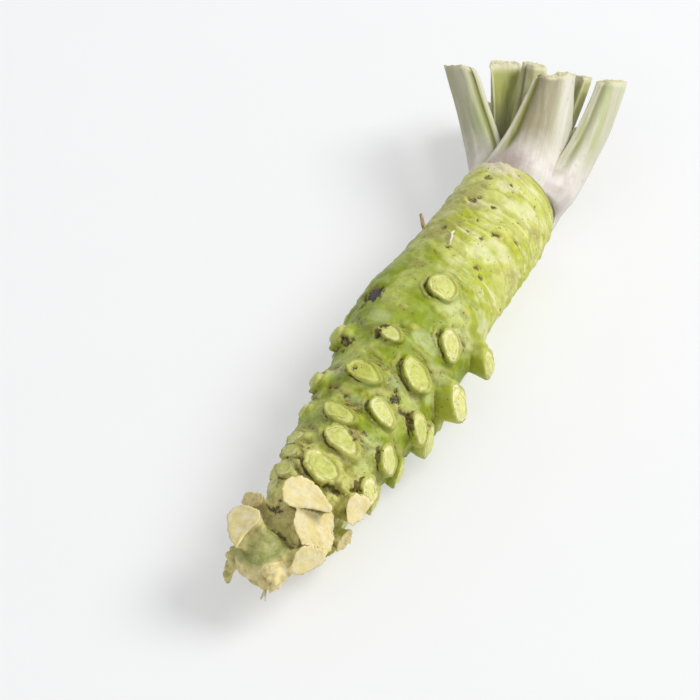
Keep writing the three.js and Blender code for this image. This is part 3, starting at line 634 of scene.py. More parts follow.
# Short dashes where scale leaves and hair roots came away.
DASH_COUNT = 240
DASHES_START, DASHES_RUN = 24, 144  # the part of the body that has them
dashes = random.Random(12)
for _ in range(DASH_COUNT):
    along = DASHES_START + DASHES_RUN * dashes.random() ** 0.8
    around = dashes.uniform(-180, 180)
    half_length, half_width = dashes.uniform(0.7, 1.9), dashes.uniform(0.25, 0.5)
    turn = math.radians(dashes.uniform(-5, 40))
    strength = dashes.uniform(0.25, 0.9)
    near = np.where(np.linalg.norm(places - np.array(local_frame(along, around)[0]), axis=1) < 4)[0]
    across, onward, _, _ = skin_from(along, around, near)
    run = across * math.cos(turn) - onward * math.sin(turn)
    off = onward * math.cos(turn) + across * math.sin(turn)
    reach = np.hypot(run / half_length, off / half_width) + 0.4 * fine[near]
    dash = ease(reach, 1.1, 0.4) * strength * uncut[near]
    relief[near] -= 0.2 * dash
    mark("dark_speck", dash * (0.8 - 0.2 * (along > FAINT_FROM)), near)

# The body is fuller on both sides than the even tube: distance along, degrees around, height, reach.
BULGES = [(103, -64, 2.1, 12), (103, 92, 1.6, 11)]
CROWN_SLANT = 0.19  # the crown reaches further along on the left-hand side
straight_out = np.outer(np.cos(angle_skin), UP) + np.outer(np.sin(angle_skin), RIGHT)
for along, around, height, reach in BULGES:
    far = skin_from(along, around)[3]
    places += straight_out * height * np.exp(-((far / reach) ** 2))[:, None]
relief *= 1 - 0.6 * ease(along_skin, 165.5, 168)
places += normals * relief[:, None] - np.outer(ease(along_skin, 150, 164) * CROWN_SLANT * side_skin, AXIS)
places[:, 2] = np.maximum(places[:, 2], 0)
move_points(rhizome, places)

# The sharp edges of the cuts and seams are rubbed down a little.
bpy.ops.object.mode_set(mode="EDIT")
bpy.ops.mesh.select_mode(type="VERT")
bpy.ops.mesh.select_all(action="DESELECT")
bpy.ops.object.mode_set(mode="OBJECT")
sharp = (np.abs(cream_cut - 0.5) < 0.48) | (crevice > 0.25) | (seam > 0.1)
rhizome.data.vertices.foreach_set("select", sharp)
bpy.ops.object.mode_set(mode="EDIT")
bpy.ops.mesh.vertices_smooth(factor=0.5, repeat=2)
bpy.ops.object.mode_set(mode="OBJECT")
bpy.ops.object.shade_smooth()

# Dull brownish stains: distance along, degrees around, radius.
STAINS = [
    (153, -18, 5), (149, -24, 4), (133, -12, 4), (143, -8, 3.5), (128, -26, 5), (150, 66, 4), (131, 78, 5),
    (112, -14, 4), (66, 18, 4), (84, -24, 3.5), (60, -28, 4), (70, 60, 4), (44, 36, 3),
]
# Pale bloom, partly painted sheen, and rubbed places where the green is bright: the same three values.
BLOOM = [
    (87.5, 32, 5), (103, 34, 6.5), (69, 26, 4), (67.5, -39, 5.5), (48, 43, 4.5), (41.5, 44, 5.5),
    (88.5, -22, 4.5), (82, 62, 4.5), (68.5, 56, 4.5), (74, 64, 4), (110, 86, 6), (57.5, 3, 3.5),
    (97, 62, 6), (144.5, -10, 3.2), (150.5, 29, 4.4), (127.5, 32, 5), (156.5, 8, 3.6), (153.5, 44, 4),
    (133, 43, 5), (163, -13, 4),
]
RUBBED = [
    (90, -6, 6.5), (92, 18, 5.5), (86.5, 14, 4.5), (75, 9, 5.5), (53.5, 5, 4.5), (91, 75, 6),
    (84, -14, 4.5), (58, 14, 5), (50, 21, 5), (99, 4, 6),
]


def patched(spots):
    """Ragged patches on the skin at (distance along, degrees around, radius)."""
    covered = np.zeros(skin_size)
    for along, around, radius in spots:
        across, onward, _, far = skin_from(along, around)
        reach = np.hypot(onward * 1.4, across * 0.8) / radius + 0.3 * medium + 0.25 * small
        covered = np.maximum(covered, 0.8 * ease(reach, 1.1, 0.4) * (far < 3 * radius))
    return covered * uncut


# The seams between the offshoots are painted dark as shade too.
mark("crevice", 0.7 * seam)
marks["crevice"] = np.clip(marks["crevice"], 0, 1)
keep(
    rhizome, **marks,
    stained=patched(STAINS), bloom=patched(BLOOM), rubbed=patched(RUBBED), neck_knob=on_knob,
    scar_ridge=mix(scar * broken, crown_step, at_crown),
    girth=np.column_stack([along_skin, 5 * np.cos(angle_skin), 5 * np.sin(angle_skin)]),
    rim_side=ease(angle_skin, 0.5, -0.1) * ease(angle_skin, -2.4, -1.6) + 0.15,
    # The left side of the crown is painted darker as shade.
    dull_side=ease(angle_skin, 0.1, -0.9) * ease(angle_skin, -2.9, -2.2) * ease(along_skin, 160, 146),
)


def add_node(tree, kind, sockets, **settings):
    """Adds a shader node; a socket given another node's output is linked to it, any other is set."""
    made = tree.nodes.new(kind)
    for name, value in settings.items():
        setattr(made, name, value)
    for key, value in sockets.items():
        if isinstance(value, bpy.types.NodeSocket):
            tree.links.new(value, made.inputs[key])
        else:
            made.inputs[key].default_value = value
    return made


# The helpers from here to painted add their nodes to the tree that the socket they are given belongs to.
def grain(vector, scale, detail=3, roughness=0.55, distortion=0):
    sockets = {"Vector": vector, "Scale": scale, "Detail": detail, "Roughness": roughness}
    sockets["Distortion"] = distortion
    return add_node(vector.id_data, "ShaderNodeTexNoise", sockets).outputs["Fac"]


def step(value, start, end, low=0.0, high=1.0):
    """Runs smoothly from low to high as the value goes from start to end."""
    sockets = {"Value": value, "From Min": start, "From Max": end, "To Min": low, "To Max": high}
    return add_node(value.id_data, "ShaderNodeMapRange", sockets, interpolation_type="SMOOTHSTEP").outputs[0]


def math_node(operation, first, second=0.0):
    return add_node(first.id_data, "ShaderNodeMath", {0: first, 1: second}, operation=operation).outputs[0]


def times(first, second):
    return math_node("MULTIPLY", first, second)


def plus(first, second):
    return math_node("ADD", first, second)


def between(value, start, full, fading, end):
    """1 while the value is between two edges, each of them soft."""
    return times(step(value, start, full), step(value, end, fading))


def tint(factor, first, second):
    """A mix of two colours, each a socket or plain red, green and blue."""
    sockets = {0: factor}
    for key, value in ((6, first), (7, second)):
        sockets[key] = value if isinstance(value, bpy.types.NodeSocket) else (*value, 1)
    return add_node(factor.id_data, "ShaderNodeMix", sockets, data_type="RGBA", blend_type="MIX").outputs[2]


def painted(colour, *layers):
    """A colour with layers over it in turn, each given as (how much, colour)."""
    for factor, paint in layers:
        colour = tint(factor, colour, paint)
    return colour


def kept(tree, name, output="Fac"):
    return add_node(tree, "ShaderNodeAttribute", {}, attribute_name=name).outputs[output]


def in_millimetres(tree):
    position = add_node(tree, "ShaderNodeTexCoord", {}).outputs["Object"]
    sockets = {"Vector": position, "Scale": (1 / MM, 1 / MM, 1 / MM)}
    return add_node(tree, "ShaderNodeMapping", sockets).outputs["Vector"]


def new_group(name, inputs, outputs):
    """A shader node group, and its inputs and outputs by name, each given as {name: type}."""
    group = bpy.data.node_groups.new(name, "ShaderNodeTree")
    for in_out, sockets in (("INPUT", inputs), ("OUTPUT", outputs)):
        for socket, kind in sockets.items():
            group.interface.new_socket(socket, in_out=in_out, socket_type="NodeSocket" + kind)
    return group, group.nodes.new("NodeGroupInput").outputs, group.nodes.new("NodeGroupOutput").inputs


def new_material(name):
    material = bpy.data.materials.new(name)
    material.use_nodes = True
    tree = material.node_tree
    return material, tree, tree.nodes["Principled BSDF"]


def finish_surface(surface, colour, roughness, height, strength, depth):
    """Links a surface's colour and roughness, and its bumps, a number of millimetres deep."""
    tree = surface.id_data
    sockets = {"Strength": strength, "Distance": depth * MM, "Height": height}
    normal = add_node(tree, "ShaderNodeBump", sockets).outputs["Normal"]
    for name, value in (("Base Color", colour), ("Roughness", roughness), ("Normal", normal)):
        tree.links.new(value, surface.inputs[name])


def let_light_in(surface, shine, weight, radius, scale):
    """Sets how shiny flesh is, and how the light spreads in it, over a scale in millimetres."""
    surface.inputs["Specular IOR Level"].default_value = shine
    surface.inputs["Subsurface Weight"].default_value = weight
    surface.inputs["Subsurface Radius"].default_value = radius
    surface.inputs["Subsurface Scale"].default_value = scale * MM


# Fine grain of cut or bruised plant flesh, the same on every part of the plant.
flesh_grain, entry, leaving = new_group(
    "flesh_grain", {"Position": "Vector", "Size": "Float"}, {"Height": "Float", "Pores": "Float"}
)
coarse = grain(entry["Position"], entry["Size"], 5, 0.65)
cell_sockets = {"Vector": entry["Position"], "Scale": times(entry["Size"], 1.6)}
cells = add_node(flesh_grain, "ShaderNodeTexVoronoi", cell_sockets).outputs["Distance"]
pores = step(cells, 0.28, 0.1)
flesh_grain.links.new(math_node("SUBTRACT", coarse, times(pores, 0.35)), leaving["Height"])
flesh_grain.links.new(pores, leaving["Pores"])

# The skin's colour goes by the distance along the body, by how far the skin looks up, and by soft patches.
skin_material, tree, surface = new_material("wasabi_skin")
position = in_millimetres(tree)
around_body = kept(tree, "girth", "Vector")
along_body, _, upward = add_node(tree, "ShaderNodeSeparateXYZ", {0: around_body}).outputs
patches = grain(position, 0.085, 3, 0.5, 0.4)
streaks = grain(around_body, 0.4, 4, 0.6, 0.5)
blotches = grain(position, 0.42, 4, 0.6, 0.3)
mottling = grain(position, 0.95, 5, 0.7)
ridges = kept(tree, "scar_ridge")
# The pale crown colour reaches further towards the tip on the right-hand side, as painted light.
near_crown = step(plus(along_body, times(upward, 3)), 104, 137)
lower_part = step(along_body, 68, 34)
near_tip = step(plus(along_body, times(patches, 24)), 61, 46, 0, 0.85)
at_neck = step(plus(along_body, times(blotches, 8)), 29, 21)

# The crown is yellower. Its pale streaks are painted highlights, and its scar valleys and its left side are
# painted darker as shade.
crown_colour = painted(
    tint(step(patches, 0.38, 0.62), (0.5, 0.545, 0.025), (0.66, 0.67, 0.17)),
    (step(streaks, 0.5, 0.66, 0, 0.85), (0.83, 0.81, 0.42)),
    (step(blotches, 0.56, 0.7, 0, 0.55), (0.44, 0.42, 0.09)),
    (step(ridges, 0.35, 0.05, 0, 0.5), (0.38, 0.36, 0.06)),
    (times(kept(tree, "dull_side"), step(blotches, 0.35, 0.6, 0.25, 0.85)), (0.42, 0.4, 0.12)),
)
tip_colour = tint(step(blotches, 0.38, 0.54), (0.46, 0.45, 0.07), (0.76, 0.72, 0.26))
knob_colour = tint(step(blotches, 0.35, 0.6), (0.3, 0.31, 0.09), (0.44, 0.44, 0.15))
neck_colour = painted(
    tint(step(blotches, 0.36, 0.56), (0.46, 0.39, 0.14), (0.68, 0.61, 0.24)),
    (step(streaks, 0.48, 0.62, 0, 0.75), (0.74, 0.68, 0.31)),
    (kept(tree, "neck_knob"), knob_colour),
)
scar_bands = times(step(ridges, 0.35, 0.9), step(streaks, 0.4, 0.6))
bloom_colour = tint(near_crown, (0.6, 0.66, 0.27), (0.84, 0.83, 0.47))
stain_colour = tint(near_crown, (0.27, 0.24, 0.04), (0.42, 0.37, 0.12))
crown_rim = step(plus(along_body, step(blotches, 0.2, 0.8, -3, 3)), 160, 163)
crown_rim = times(times(crown_rim, kept(tree, "rim_side")), step(streaks, 0.35, 0.6, 0.6, 0.95))
olive_part = times(step(blotches, 0.42, 0.62), step(lower_part, 0, 1, 0.3, 0.7))

# Tiny brown specks, in clusters.
speckled = add_node(tree, "ShaderNodeTexVoronoi", {"Vector": position, "Scale": 0.8}).outputs
chance = add_node(tree, "ShaderNodeSeparateColor", {0: speckled["Color"]}).outputs[0]
clusters = step(grain(around_body, 0.22, 3, 0.6), 0.48, 0.6, 0.1, 1)
dots = times(times(step(speckled["Distance"], 0.3, 0.16), step(chance, 0.7, 0.74)), clusters)

# The trimmed faces of the buds have a pale rim and two faint brown rings.
place_on_face = plus(kept(tree, "ring_place"), step(blotches, 0.2, 0.8, -0.12, 0.12))
white_rim = tint(kept(tree, "whiteness"), (0.66, 0.67, 0.18), (0.88, 0.84, 0.45))
face_middle = tint(kept(tree, "whiteness"), (0.53, 0.57, 0.09), (0.74, 0.73, 0.27))
part_ring = step(grain(position, 0.25, 2), 0.48, 0.6)
face_colour = painted(
    face_middle,
    (times(step(place_on_face, 0.55, 0.85), step(blotches, 0.35, 0.55, 0.35, 1)), white_rim),
    (times(times(between(place_on_face, 0.76, 0.82, 0.84, 0.9), part_ring), 0.75), (0.33, 0.32, 0.05)),
    (times(times(between(place_on_face, 0.4, 0.47, 0.5, 0.58), part_ring), 0.65), (0.4, 0.4, 0.06)),
    (step(mottling, 0.5, 0.68, 0, 0.6), (0.47, 0.42, 0.1)),
    (step(mottling, 0.46, 0.32, 0, 0.5), (0.84, 0.82, 0.44)),
)
face = kept(tree, "cut_face")

# The cut and torn flesh of the offshoots is cream where it is fresh, and brown where it has dried.
cream = kept(tree, "cream_cut")
old_colour = tint(step(mottling, 0.42, 0.62), (0.64, 0.53, 0.22), (0.32, 0.23, 0.06))
cream_colour = painted(
    tint(step(blotches, 0.4, 0.62), (0.9, 0.755, 0.33), (0.91, 0.81, 0.49)),
    (step(mottling, 0.58, 0.76, 0, 0.35), (0.8, 0.62, 0.24)),
    (kept(tree, "old_cut"), old_colour),
)
dried_edge = times(between(cream, 0.1, 0.4, 0.5, 0.85), step(along_body, 1.5, 4.5, 0.15, 0.7))

# The gullies (painted shade) and the traces of leaves are finely hatched, and the dark specks have frayed
# edges.
hatching = grain(around_body, 1.6, 3, 0.6)
trace_colour = tint(step(hatching, 0.44, 0.56), (0.42, 0.33, 0.09), (0.08, 0.055, 0.018))
gully_colour = tint(step(hatching, 0.4, 0.6), (0.2, 0.14, 0.04), (0.05, 0.034, 0.012))
frayed_edge = plus(kept(tree, "dark_speck"), step(grain(position, 2.2, 4, 0.65), 0.35, 0.65, -0.45, 0.2))

skin_colour = painted(
    # Deep green, with pale patches that are partly painted sheen.
    tint(step(patches, 0.44, 0.6), (0.27, 0.35, 0.002), (0.5, 0.56, 0.11)),
    # The green body, with scar bands that are partly painted sheen, and rubbed places and bloom, turns paler
    # and yellower at the crown.
    (times(scar_bands, 0.4), (0.53, 0.58, 0.2)),
    (times(kept(tree, "rubbed"), 0.9), (0.28, 0.37, 0.001)),
    (near_crown, crown_colour),
    (times(kept(tree, "bloom"), 0.8), bloom_colour),
    # The rim of the crown, with painted shade where it meets the sheaths, stains, and olive patches.
    (crown_rim, (0.76, 0.68, 0.45)),
    (step(along_body, 166.8, 167.4, 0, 0.8), (0.3, 0.24, 0.12)),
    (times(kept(tree, "stained"), step(mottling, 0.35, 0.6, 0.3, 1)), stain_colour),
    (times(olive_part, step(near_crown, 0, 1, 1, 0.2)), (0.2, 0.21, 0.012)),
    # The old tip, and what stands out from the skin.
    (near_tip, tip_colour),
    (at_neck, neck_colour),
    (times(kept(tree, "flank"), 0.5), (0.5, 0.51, 0.06)),
    (times(kept(tree, "old_scale"), 0.7), (0.52, 0.47, 0.14)),
    (times(step(mottling, 0.56, 0.72), step(lower_part, 0, 1, 0.25, 0.6)), (0.32, 0.25, 0.05)),
    (times(kept(tree, "rooting_bud"), 0.6), (0.58, 0.53, 0.08)),
    (times(dots, 0.75), (0.1, 0.07, 0.02)),
    # The cuts and their dried edges.
    (face, face_colour),
    (times(between(face, 0.15, 0.45, 0.55, 0.85), 0.5), (0.36, 0.31, 0.06)),
    (cream, cream_colour),
    (dried_edge, (0.36, 0.25, 0.08)),
    # Brown traces, gullies painted dark as shade, and specks.
    (times(kept(tree, "leaf_trace"), 0.9), trace_colour),
    (step(kept(tree, "crevice"), 0.15, 0.8, 0, 0.92), gully_colour),
    (step(frayed_edge, 0.15, 0.55, 0, 0.8), (0.24, 0.18, 0.04)),
    (step(frayed_edge, 0.6, 0.9, 0, 0.93), (0.03, 0.022, 0.016)),
)

grain_height = add_node(
    tree, "ShaderNodeGroup", {"Position": position, "Size": 1.1}, node_tree=flesh_grain
).outputs["Height"]
wetness = step(grain(position, 0.3, 3), 0.35, 0.65, 0.3, 0.45)
dryness = times(math_node("MAXIMUM", cream, kept(tree, "crevice")), 0.25)
cleaner = step(math_node("MAXIMUM", cream, face), 0, 1, 1, 0.12)
roughness = plus(plus(wetness, dryness), step(grain_height, 0.3, 0.7, -0.05, 0.08))
bumps = plus(times(grain_height, cleaner), times(grain(around_body, 0.9, 4, 0.6), 1.1))
finish_surface(surface, skin_colour, roughness, bumps, strength=0.55, depth=0.35)
let_light_in(surface, shine=0.3, weight=0.1, radius=(1, 1, 0.3), scale=1.0)
rhizome.data.materials.clear()
rhizome.data.materials.append(skin_material)
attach(rhizome, "root")
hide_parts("rhizome")

# ---- Leaf stalks ---------------------------------------------------------------------------------------
# Each leaf stalk is a fleshy ribbed blade, hollowed on its inner side. Its base is a lilac-white sheath that
# clasps the crown, and the knife went through all of them at a slant, just above the crown.

CROWN = np.array(axis_point(168.5))
FAN_LIFT, FAN_LEFT = math.radians(4), math.radians(15)  # the stalks lean up and to the left of the axis
FAN_AXIS = (AXIS + UP * math.tan(FAN_LIFT) - RIGHT * math.tan(FAN_LEFT)).normalized()
FAN_UP = (UP - FAN_AXIS * UP.dot(FAN_AXIS)).normalized()
FAN_RIGHT = -FAN_UP.cross(FAN_AXIS)
OUTER_RADIUS, INNER_RADIUS = 13.4, 7.4  # of the two whorls, where their stalks leave the crown
OUTER_EDGE, INNER_EDGE = 2.0, 0.7  # how thick a stalk is along its two edges
SHEATH_THICK, SHEATH_EDGE = 2.6, 0.9
STALK_CURL = 1.2  # radius of the curl across a stalk, in parts of its width
EDGE_PART = 0.14  # of the way round a blade, the part that rounds each edge
BLADE_SIDES, BLADE_CUTS = 144, 96
END_RINGS = (0.85, 0.8, 0.72, 0.6, 0.4)  # each as part of the one before it
SHARP_EDGE = math.radians(50)

# Of each stalk: degrees around the crown of its base, degrees it clasps to each side, where its top stands up
# and right, length, width, thickness, how soon it narrows (flare) and bows, and the slope of its cut. Where
# it differs from a plain one: turn of the top, swelling, how frayed the cut is, how much lower its left half
# is cut, how dark the painted shade is there and how bright the painted light on its right half, its groove
# (place across, width, depth), how far its base runs out to each side (degrees, and the part of the length in
# which that fades), how far the two edges of its base lie over their neighbours, and where it starts.
OUTER_STALKS = {
    "leaf_stalk_left": dict(
        base=-50, clasp=34, up=6, right=-27.6, length=52, width=13.2, thick=5.4, flare=2.6, bow=0.95,
        slope=0.8, turn=38, swell=-2.6, dusky=0.3, groove=(0.72, 0.08, 1.1), skirt_right=(20, 0.2),
        lifts=(1, -1.4),
    ),
    "leaf_stalk_front": dict(
        base=30, clasp=60, up=14, right=7.6, length=46.5, width=13.4, thick=5.4, flare=1.15, bow=1.3,
        slope=1.2, swell=0.6, frayed=0.9, notch=1.8, dusky=1, pale=0.9, groove=(-0.78, 0.11, 1.7),
        skirt_left=(34, 0.18), skirt_right=(30, 0.3), lifts=(1.8, 1.4),
    ),
    "leaf_stalk_right": dict(
        base=94, clasp=42, up=6, right=26.5, length=54.5, width=10.8, thick=5, flare=1.05, bow=1.4,
        slope=1.15, turn=-22, swell=2.4, pale=0.4, groove=(-0.74, 0.07, 0.6),
        skirt_left=(27, 0.45), skirt_right=(10, 0.1), lifts=(-3, 0.6),
    ),
    "leaf_stalk_under_right": dict(
        base=156, clasp=40, up=-17, right=16, length=53, width=11.4, thick=5, flare=2, bow=1.5,
        slope=0.9, swell=2.4, dusky=0.3, groove=(0.7, 0.08, 0.6), skirt_left=(20, 0.12), lifts=(-1.4, 1),
        start=-6,
    ),
    "leaf_stalk_under_left": dict(
        base=226, clasp=44, up=-16, right=-13, length=59, width=12, thick=5, flare=1.8, bow=1.2,
        slope=0.9, swell=0.6, dusky=0.3, groove=(-0.7, 0.08, 0.6), lifts=(-1.4, 1),
    ),
}
INNER_STALKS = {
    "leaf_stalk_inner_left": dict(
        base=-104, up=-1, right=-13, length=64.5, width=12, thick=4.2, bow=0.8, slope=1.35,
        turn=-58, frayed=0.6,
    ),
    "leaf_stalk_inner_middle": dict(
        base=0, up=6, right=-2.5, length=58, width=10, thick=4, bow=1.3, slope=1.3,
        turn=-20, dusky=0.5, groove=(-0.15, 0.1, 0.8),
    ),
    "leaf_stalk_inner_right": dict(
        base=120, up=1, right=15, length=60, width=8.6, thick=4, bow=1.2, slope=1.15,
        turn=48, frayed=0.4, pale=0.9,
    ),
}
INNER_SHAPE = dict(clasp=50, flare=2, start=1)  # the same for all three

# A bare blade, modelled once: an upright tube of unit radius and length, with rings along it and in its ends.
deselect()
bpy.ops.mesh.primitive_cylinder_add(
    vertices=BLADE_SIDES, radius=1, depth=1, end_fill_type="NGON", location=(0, 0, 0.5)
)
blade = bpy.context.object
bpy.ops.object.transform_apply(location=True, rotation=True, scale=True)
bpy.ops.object.mode_set(mode="EDIT")
bpy.ops.mesh.select_mode(type="EDGE")
bpy.ops.mesh.select_all(action="DESELECT")
bpy.ops.object.mode_set(mode="OBJECT")
for edge in blade.data.edges:
    first, second = (blade.data.vertices[i].co for i in edge.vertices)
    edge.select = abs(first.z - second.z) > 0.5
bpy.ops.object.mode_set(mode="EDIT")
bpy.ops.mesh.subdivide(number_cuts=BLADE_CUTS)
for end in (0, 1):
    bpy.ops.mesh.select_all(action="DESELECT")
    bpy.ops.mesh.select_mode(type="FACE")
    bpy.ops.object.mode_set(mode="OBJECT")
    for face in blade.data.polygons:
        face.select = len(face.vertices) > 4 and abs(face.center.z - end) < 0.01
    bpy.ops.object.mode_set(mode="EDIT")
    for size in END_RINGS:
        extrude((0, 0, 0))
        bpy.ops.transform.resize(value=(size, size, 1), center_override=(0, 0, end))
bpy.ops.object.mode_set(mode="OBJECT")


def copy_blade(name):
    """A copy of the bare blade, and where its points are: across, deep and up."""
    deselect()
    piece = bpy.data.objects.new(name, blade.data.copy())
    bpy.context.collection.objects.link(piece)
    bpy.context.view_layer.objects.active = piece
    piece.select_set(True)
    return piece, *points_of(piece).T


def finish_blade(piece, above, aside, onward):
    """Moves a copied blade's points to places up, right and along the fan from the crown, and shades it."""
    parts = (above, FAN_UP), (aside, FAN_RIGHT), (onward, FAN_AXIS)
    move_points(piece, sum(np.outer(distance, np.array(way)) for distance, way in parts) + CROWN)
    start_editing()
    finish_editing()
    bpy.ops.object.shade_smooth_by_angle(angle=SHARP_EDGE)


def make_stalk(
    name, seed, radius, edge_thick, base, clasp, up, right, length, width, thick, flare, bow, slope,
    turn=0, swell=0, frayed=0.5, notch=0, dusky=0, pale=0, groove=(0, 0.1, 0), skirt_left=(0, 0.1),
    skirt_right=(0, 0.1), lifts=(0, 0), start=-3.5,
):
    """A stalk shaped from the bare blade: u runs across it, v from its inner to its outer side, t up it."""
    piece, x, y, t = copy_blade(name + "_flesh")
    reach = np.hypot(x, y)
    round_blade = np.arctan2(y, -x) / math.pi
    from_edge = 2 * np.minimum(np.abs(round_blade), 1 - np.abs(round_blade))
    u = (2 * np.abs(round_blade) - 1) * reach
    v = np.sign(round_blade) * np.sqrt(np.minimum(from_edge / EDGE_PART, 1)) * reach

    # Its middle line, from the place of its base in the whorl to the place of its top.
    spread = 1 - (1 - t) ** bow
    narrowing = 1 - (1 - t) ** flare
    base_angle = math.radians(base)
    top_angle = math.atan2(right, up) + math.radians(turn)
    angle = base_angle + math.remainder(top_angle - base_angle, 2 * math.pi) * spread
    rise = mix(radius * math.cos(base_angle), up, spread)
    drift = mix(radius * math.sin(base_angle), right, spread)

    # Its width, and the curl with which it clasps the crown.
    half_width = mix(radius * math.radians(clasp), width / 2, narrowing)
    for side, (reach_out, fade) in ((-1, skirt_left), (1, skirt_right)):
        half_width += (u * side > 0) * radius * math.radians(reach_out) * np.exp(-t / fade)
    curl = mix(radius, width * STALK_CURL, narrowing)
    bend = u * half_width / curl

    # Its thickness, with ribs and a groove.
    sheath_full = np.minimum(ease(u, -1, -0.25), 1 - ease(u, -0.15, 0.4))
    stalk_full = 1 - ease(np.abs(u), 0.45, 1.05)
    edge = mix(SHEATH_EDGE, edge_thick, narrowing)
    middle = mix(SHEATH_THICK, thick, narrowing)
    thickness = edge + (middle - edge) * mix(sheath_full, stalk_full, narrowing)
    wobble = mottle(np.column_stack([u * 1.5, t * 4, 0 * t + seed]), 1, 0)
    ribs = np.where(v > 0, 0.07, 0.05) * np.cos(u * half_width * 2.6 + 2 * wobble) * np.abs(v)
    groove_place, groove_width, groove_depth = groove
    furrow = np.exp(-(((u - groove_place) / groove_width) ** 2)) * np.clip(v, 0, 1) * ease(t, 0.1, 0.36)
    depth = thickness * (1 + v) / 2 + ribs * ease(t, 0.02, 0.3) - furrow * groove_depth
    depth = depth + np.where(u < 0, *lifts) * u ** 2 * (1 - narrowing)
    pinch = -1.1 * (1 - ease(t, 0, 0.1))
    centring = swell * np.sin(math.pi * np.sqrt(t)) - narrowing * thick / 2 + pinch
    outward = curl * (np.cos(bend) - 1) + depth * np.cos(bend) + centring + 0.25 * wobble
    onward = curl * np.sin(bend) + depth * np.sin(bend)

    # The knife went through it at a slant, and left a frayed end with rounded corners.
    above = np.cos(angle) * outward - np.sin(angle) * onward
    aside = np.sin(angle) * outward + np.cos(angle) * onward
    torn = mottle(np.column_stack([u * 4, v * 1.5, 0 * t + seed]), 1, 3)
    torn += 0.6 * mottle(np.column_stack([u * 11, v * 4, 0 * t + seed]), 1, 4)
    onto = mix(start, length, t) - slope * t * above
    rounded = 1.2 * ease(np.abs(u), 0.7, 1.0)
    onto += (frayed * torn - notch * ease(u, 0.2, -0.1) - rounded) * t ** 14
    finish_blade(piece, rise + above, drift + aside, onto)
    keep(
        piece, fibre=np.column_stack([u * half_width, t * length, 10 * seed + 40 * (v > 0)]),
        outer_side=v, across_blade=u, up_stalk=t, cut_end=(t > 0.999).astype(float),
        # The left half is painted darker as shade, and the right half paler as light.
        groove=furrow * min(groove_depth, 1), dusky=dusky * ease(u, 0.3, -0.15) * ease(t, 0.08, 0.4),
        bruise=dusky * ease(u, 0.05, -0.4) * ease(t, 0.32, 0.1), pallor=pale * ease(u, -0.2, 0.3),
    )
    return piece


# Lengthwise fibres: fine light and dark strings along a stalk, and the broad bands that they lie in.
stalk_fibres, entry, leaving = new_group(
    "stalk_fibres", {"Place": "Vector"}, {"Strings": "Float", "Bands": "Float"}
)
for output, scale, roughness, distortion in (
    ("Strings", (2.6, 0.07, 1), 0.6, 0), ("Bands", (0.42, 0.025, 1), 0.5, 0.3),
):
    stretched = add_node(stalk_fibres, "ShaderNodeMapping", {"Vector": entry["Place"], "Scale": scale})
    stalk_fibres.links.new(grain(stretched.outputs[0], 1, 3, roughness, distortion), leaving[output])


def stalk_material(name, sheath, outer, green_band, dusky, inner, inner_deep, margin_colour):
    material, tree, surface = new_material(name)
    position = in_millimetres(tree)
    fibres = {"Place": kept(tree, "fibre", "Vector")}
    strings, bands = add_node(tree, "ShaderNodeGroup", fibres, node_tree=stalk_fibres).outputs
    height = kept(tree, "up_stalk")
    clouds = grain(position, 0.16, 3, 0.5, 0.3)
    outer_colour = painted(
        outer,
        # The stalk above, painted darker as shade on its left half and paler as light on its right half, and
        # the sheath below with its lilac clouds and bruise.
        (step(bands, 0.42, 0.6, 0, 0.85), green_band),
        (kept(tree, "pallor"), (0.71, 0.68, 0.57)),
        (kept(tree, "dusky"), dusky),
        (step(plus(height, times(clouds, 0.3)), 0.66, 0.2), sheath),
        (times(step(clouds, 0.45, 0.62, 0.1, 0.5), step(height, 0.5, 0.05)), (0.6, 0.49, 0.46)),
        (times(kept(tree, "bruise"), step(clouds, 0.3, 0.55, 0.4, 0.9)), (0.46, 0.36, 0.31)),
        # Dark and light fibres, and the groove.
        (step(strings, 0.5, 0.72, 0, 0.22), (0.32, 0.3, 0.17)),
        (step(strings, 0.46, 0.28, 0, 0.2), (0.8, 0.77, 0.66)),
        (kept(tree, "groove"), inner_deep),
    )
    # The inner face is painted darker down in the hollow between the stalks as shade, and paler as light on
    # its right half.
    inner_colour = painted(
        tint(step(height, 0.15, 0.9), inner_deep, inner),
        (kept(tree, "pallor"), (0.6, 0.64, 0.28)),
        (step(height, 0.9, 0.97, 0, 0.6), (0.66, 0.62, 0.36)),
        (step(strings, 0.48, 0.7, 0, 0.35), (0.56, 0.56, 0.26)),
        (step(bands, 0.5, 0.7, 0, 0.4), inner_deep),
    )
    from_middle = math_node("ABSOLUTE", kept(tree, "across_blade"))
    cut_colour = tint(step(grain(position, 0.9, 4, 0.7), 0.42, 0.62), (0.74, 0.71, 0.46), (0.5, 0.44, 0.21))
    colour = painted(
        tint(step(kept(tree, "outer_side"), -0.55, -0.1), inner_colour, outer_colour),
        # The two edges, the worn top, brown spots and the cut.
        (times(step(from_middle, 0.86, 0.95), step(clouds, 0.3, 0.6, 0.6, 1)), margin_colour),
        (times(step(height, 0.94, 0.985), step(clouds, 0.35, 0.6, 0.3, 0.9)), (0.7, 0.67, 0.46)),
        (step(grain(position, 0.5, 4, 0.6), 0.58, 0.72, 0, 0.35), (0.42, 0.34, 0.18)),
        (kept(tree, "cut_end"), cut_colour),
    )
    fine_grain = add_node(tree, "ShaderNodeGroup", {"Position": position, "Size": 1.4}, node_tree=flesh_grain)
    finish_surface(
        surface, colour, plus(step(strings, 0.3, 0.7, 0.42, 0.56), times(kept(tree, "cut_end"), 0.2)),
        plus(strings, times(fine_grain.outputs["Height"], 0.3)), strength=0.4, depth=0.22,
    )
    let_light_in(surface, shine=0.4, weight=0.12, radius=(1, 1, 0.5), scale=1.3)
    return material


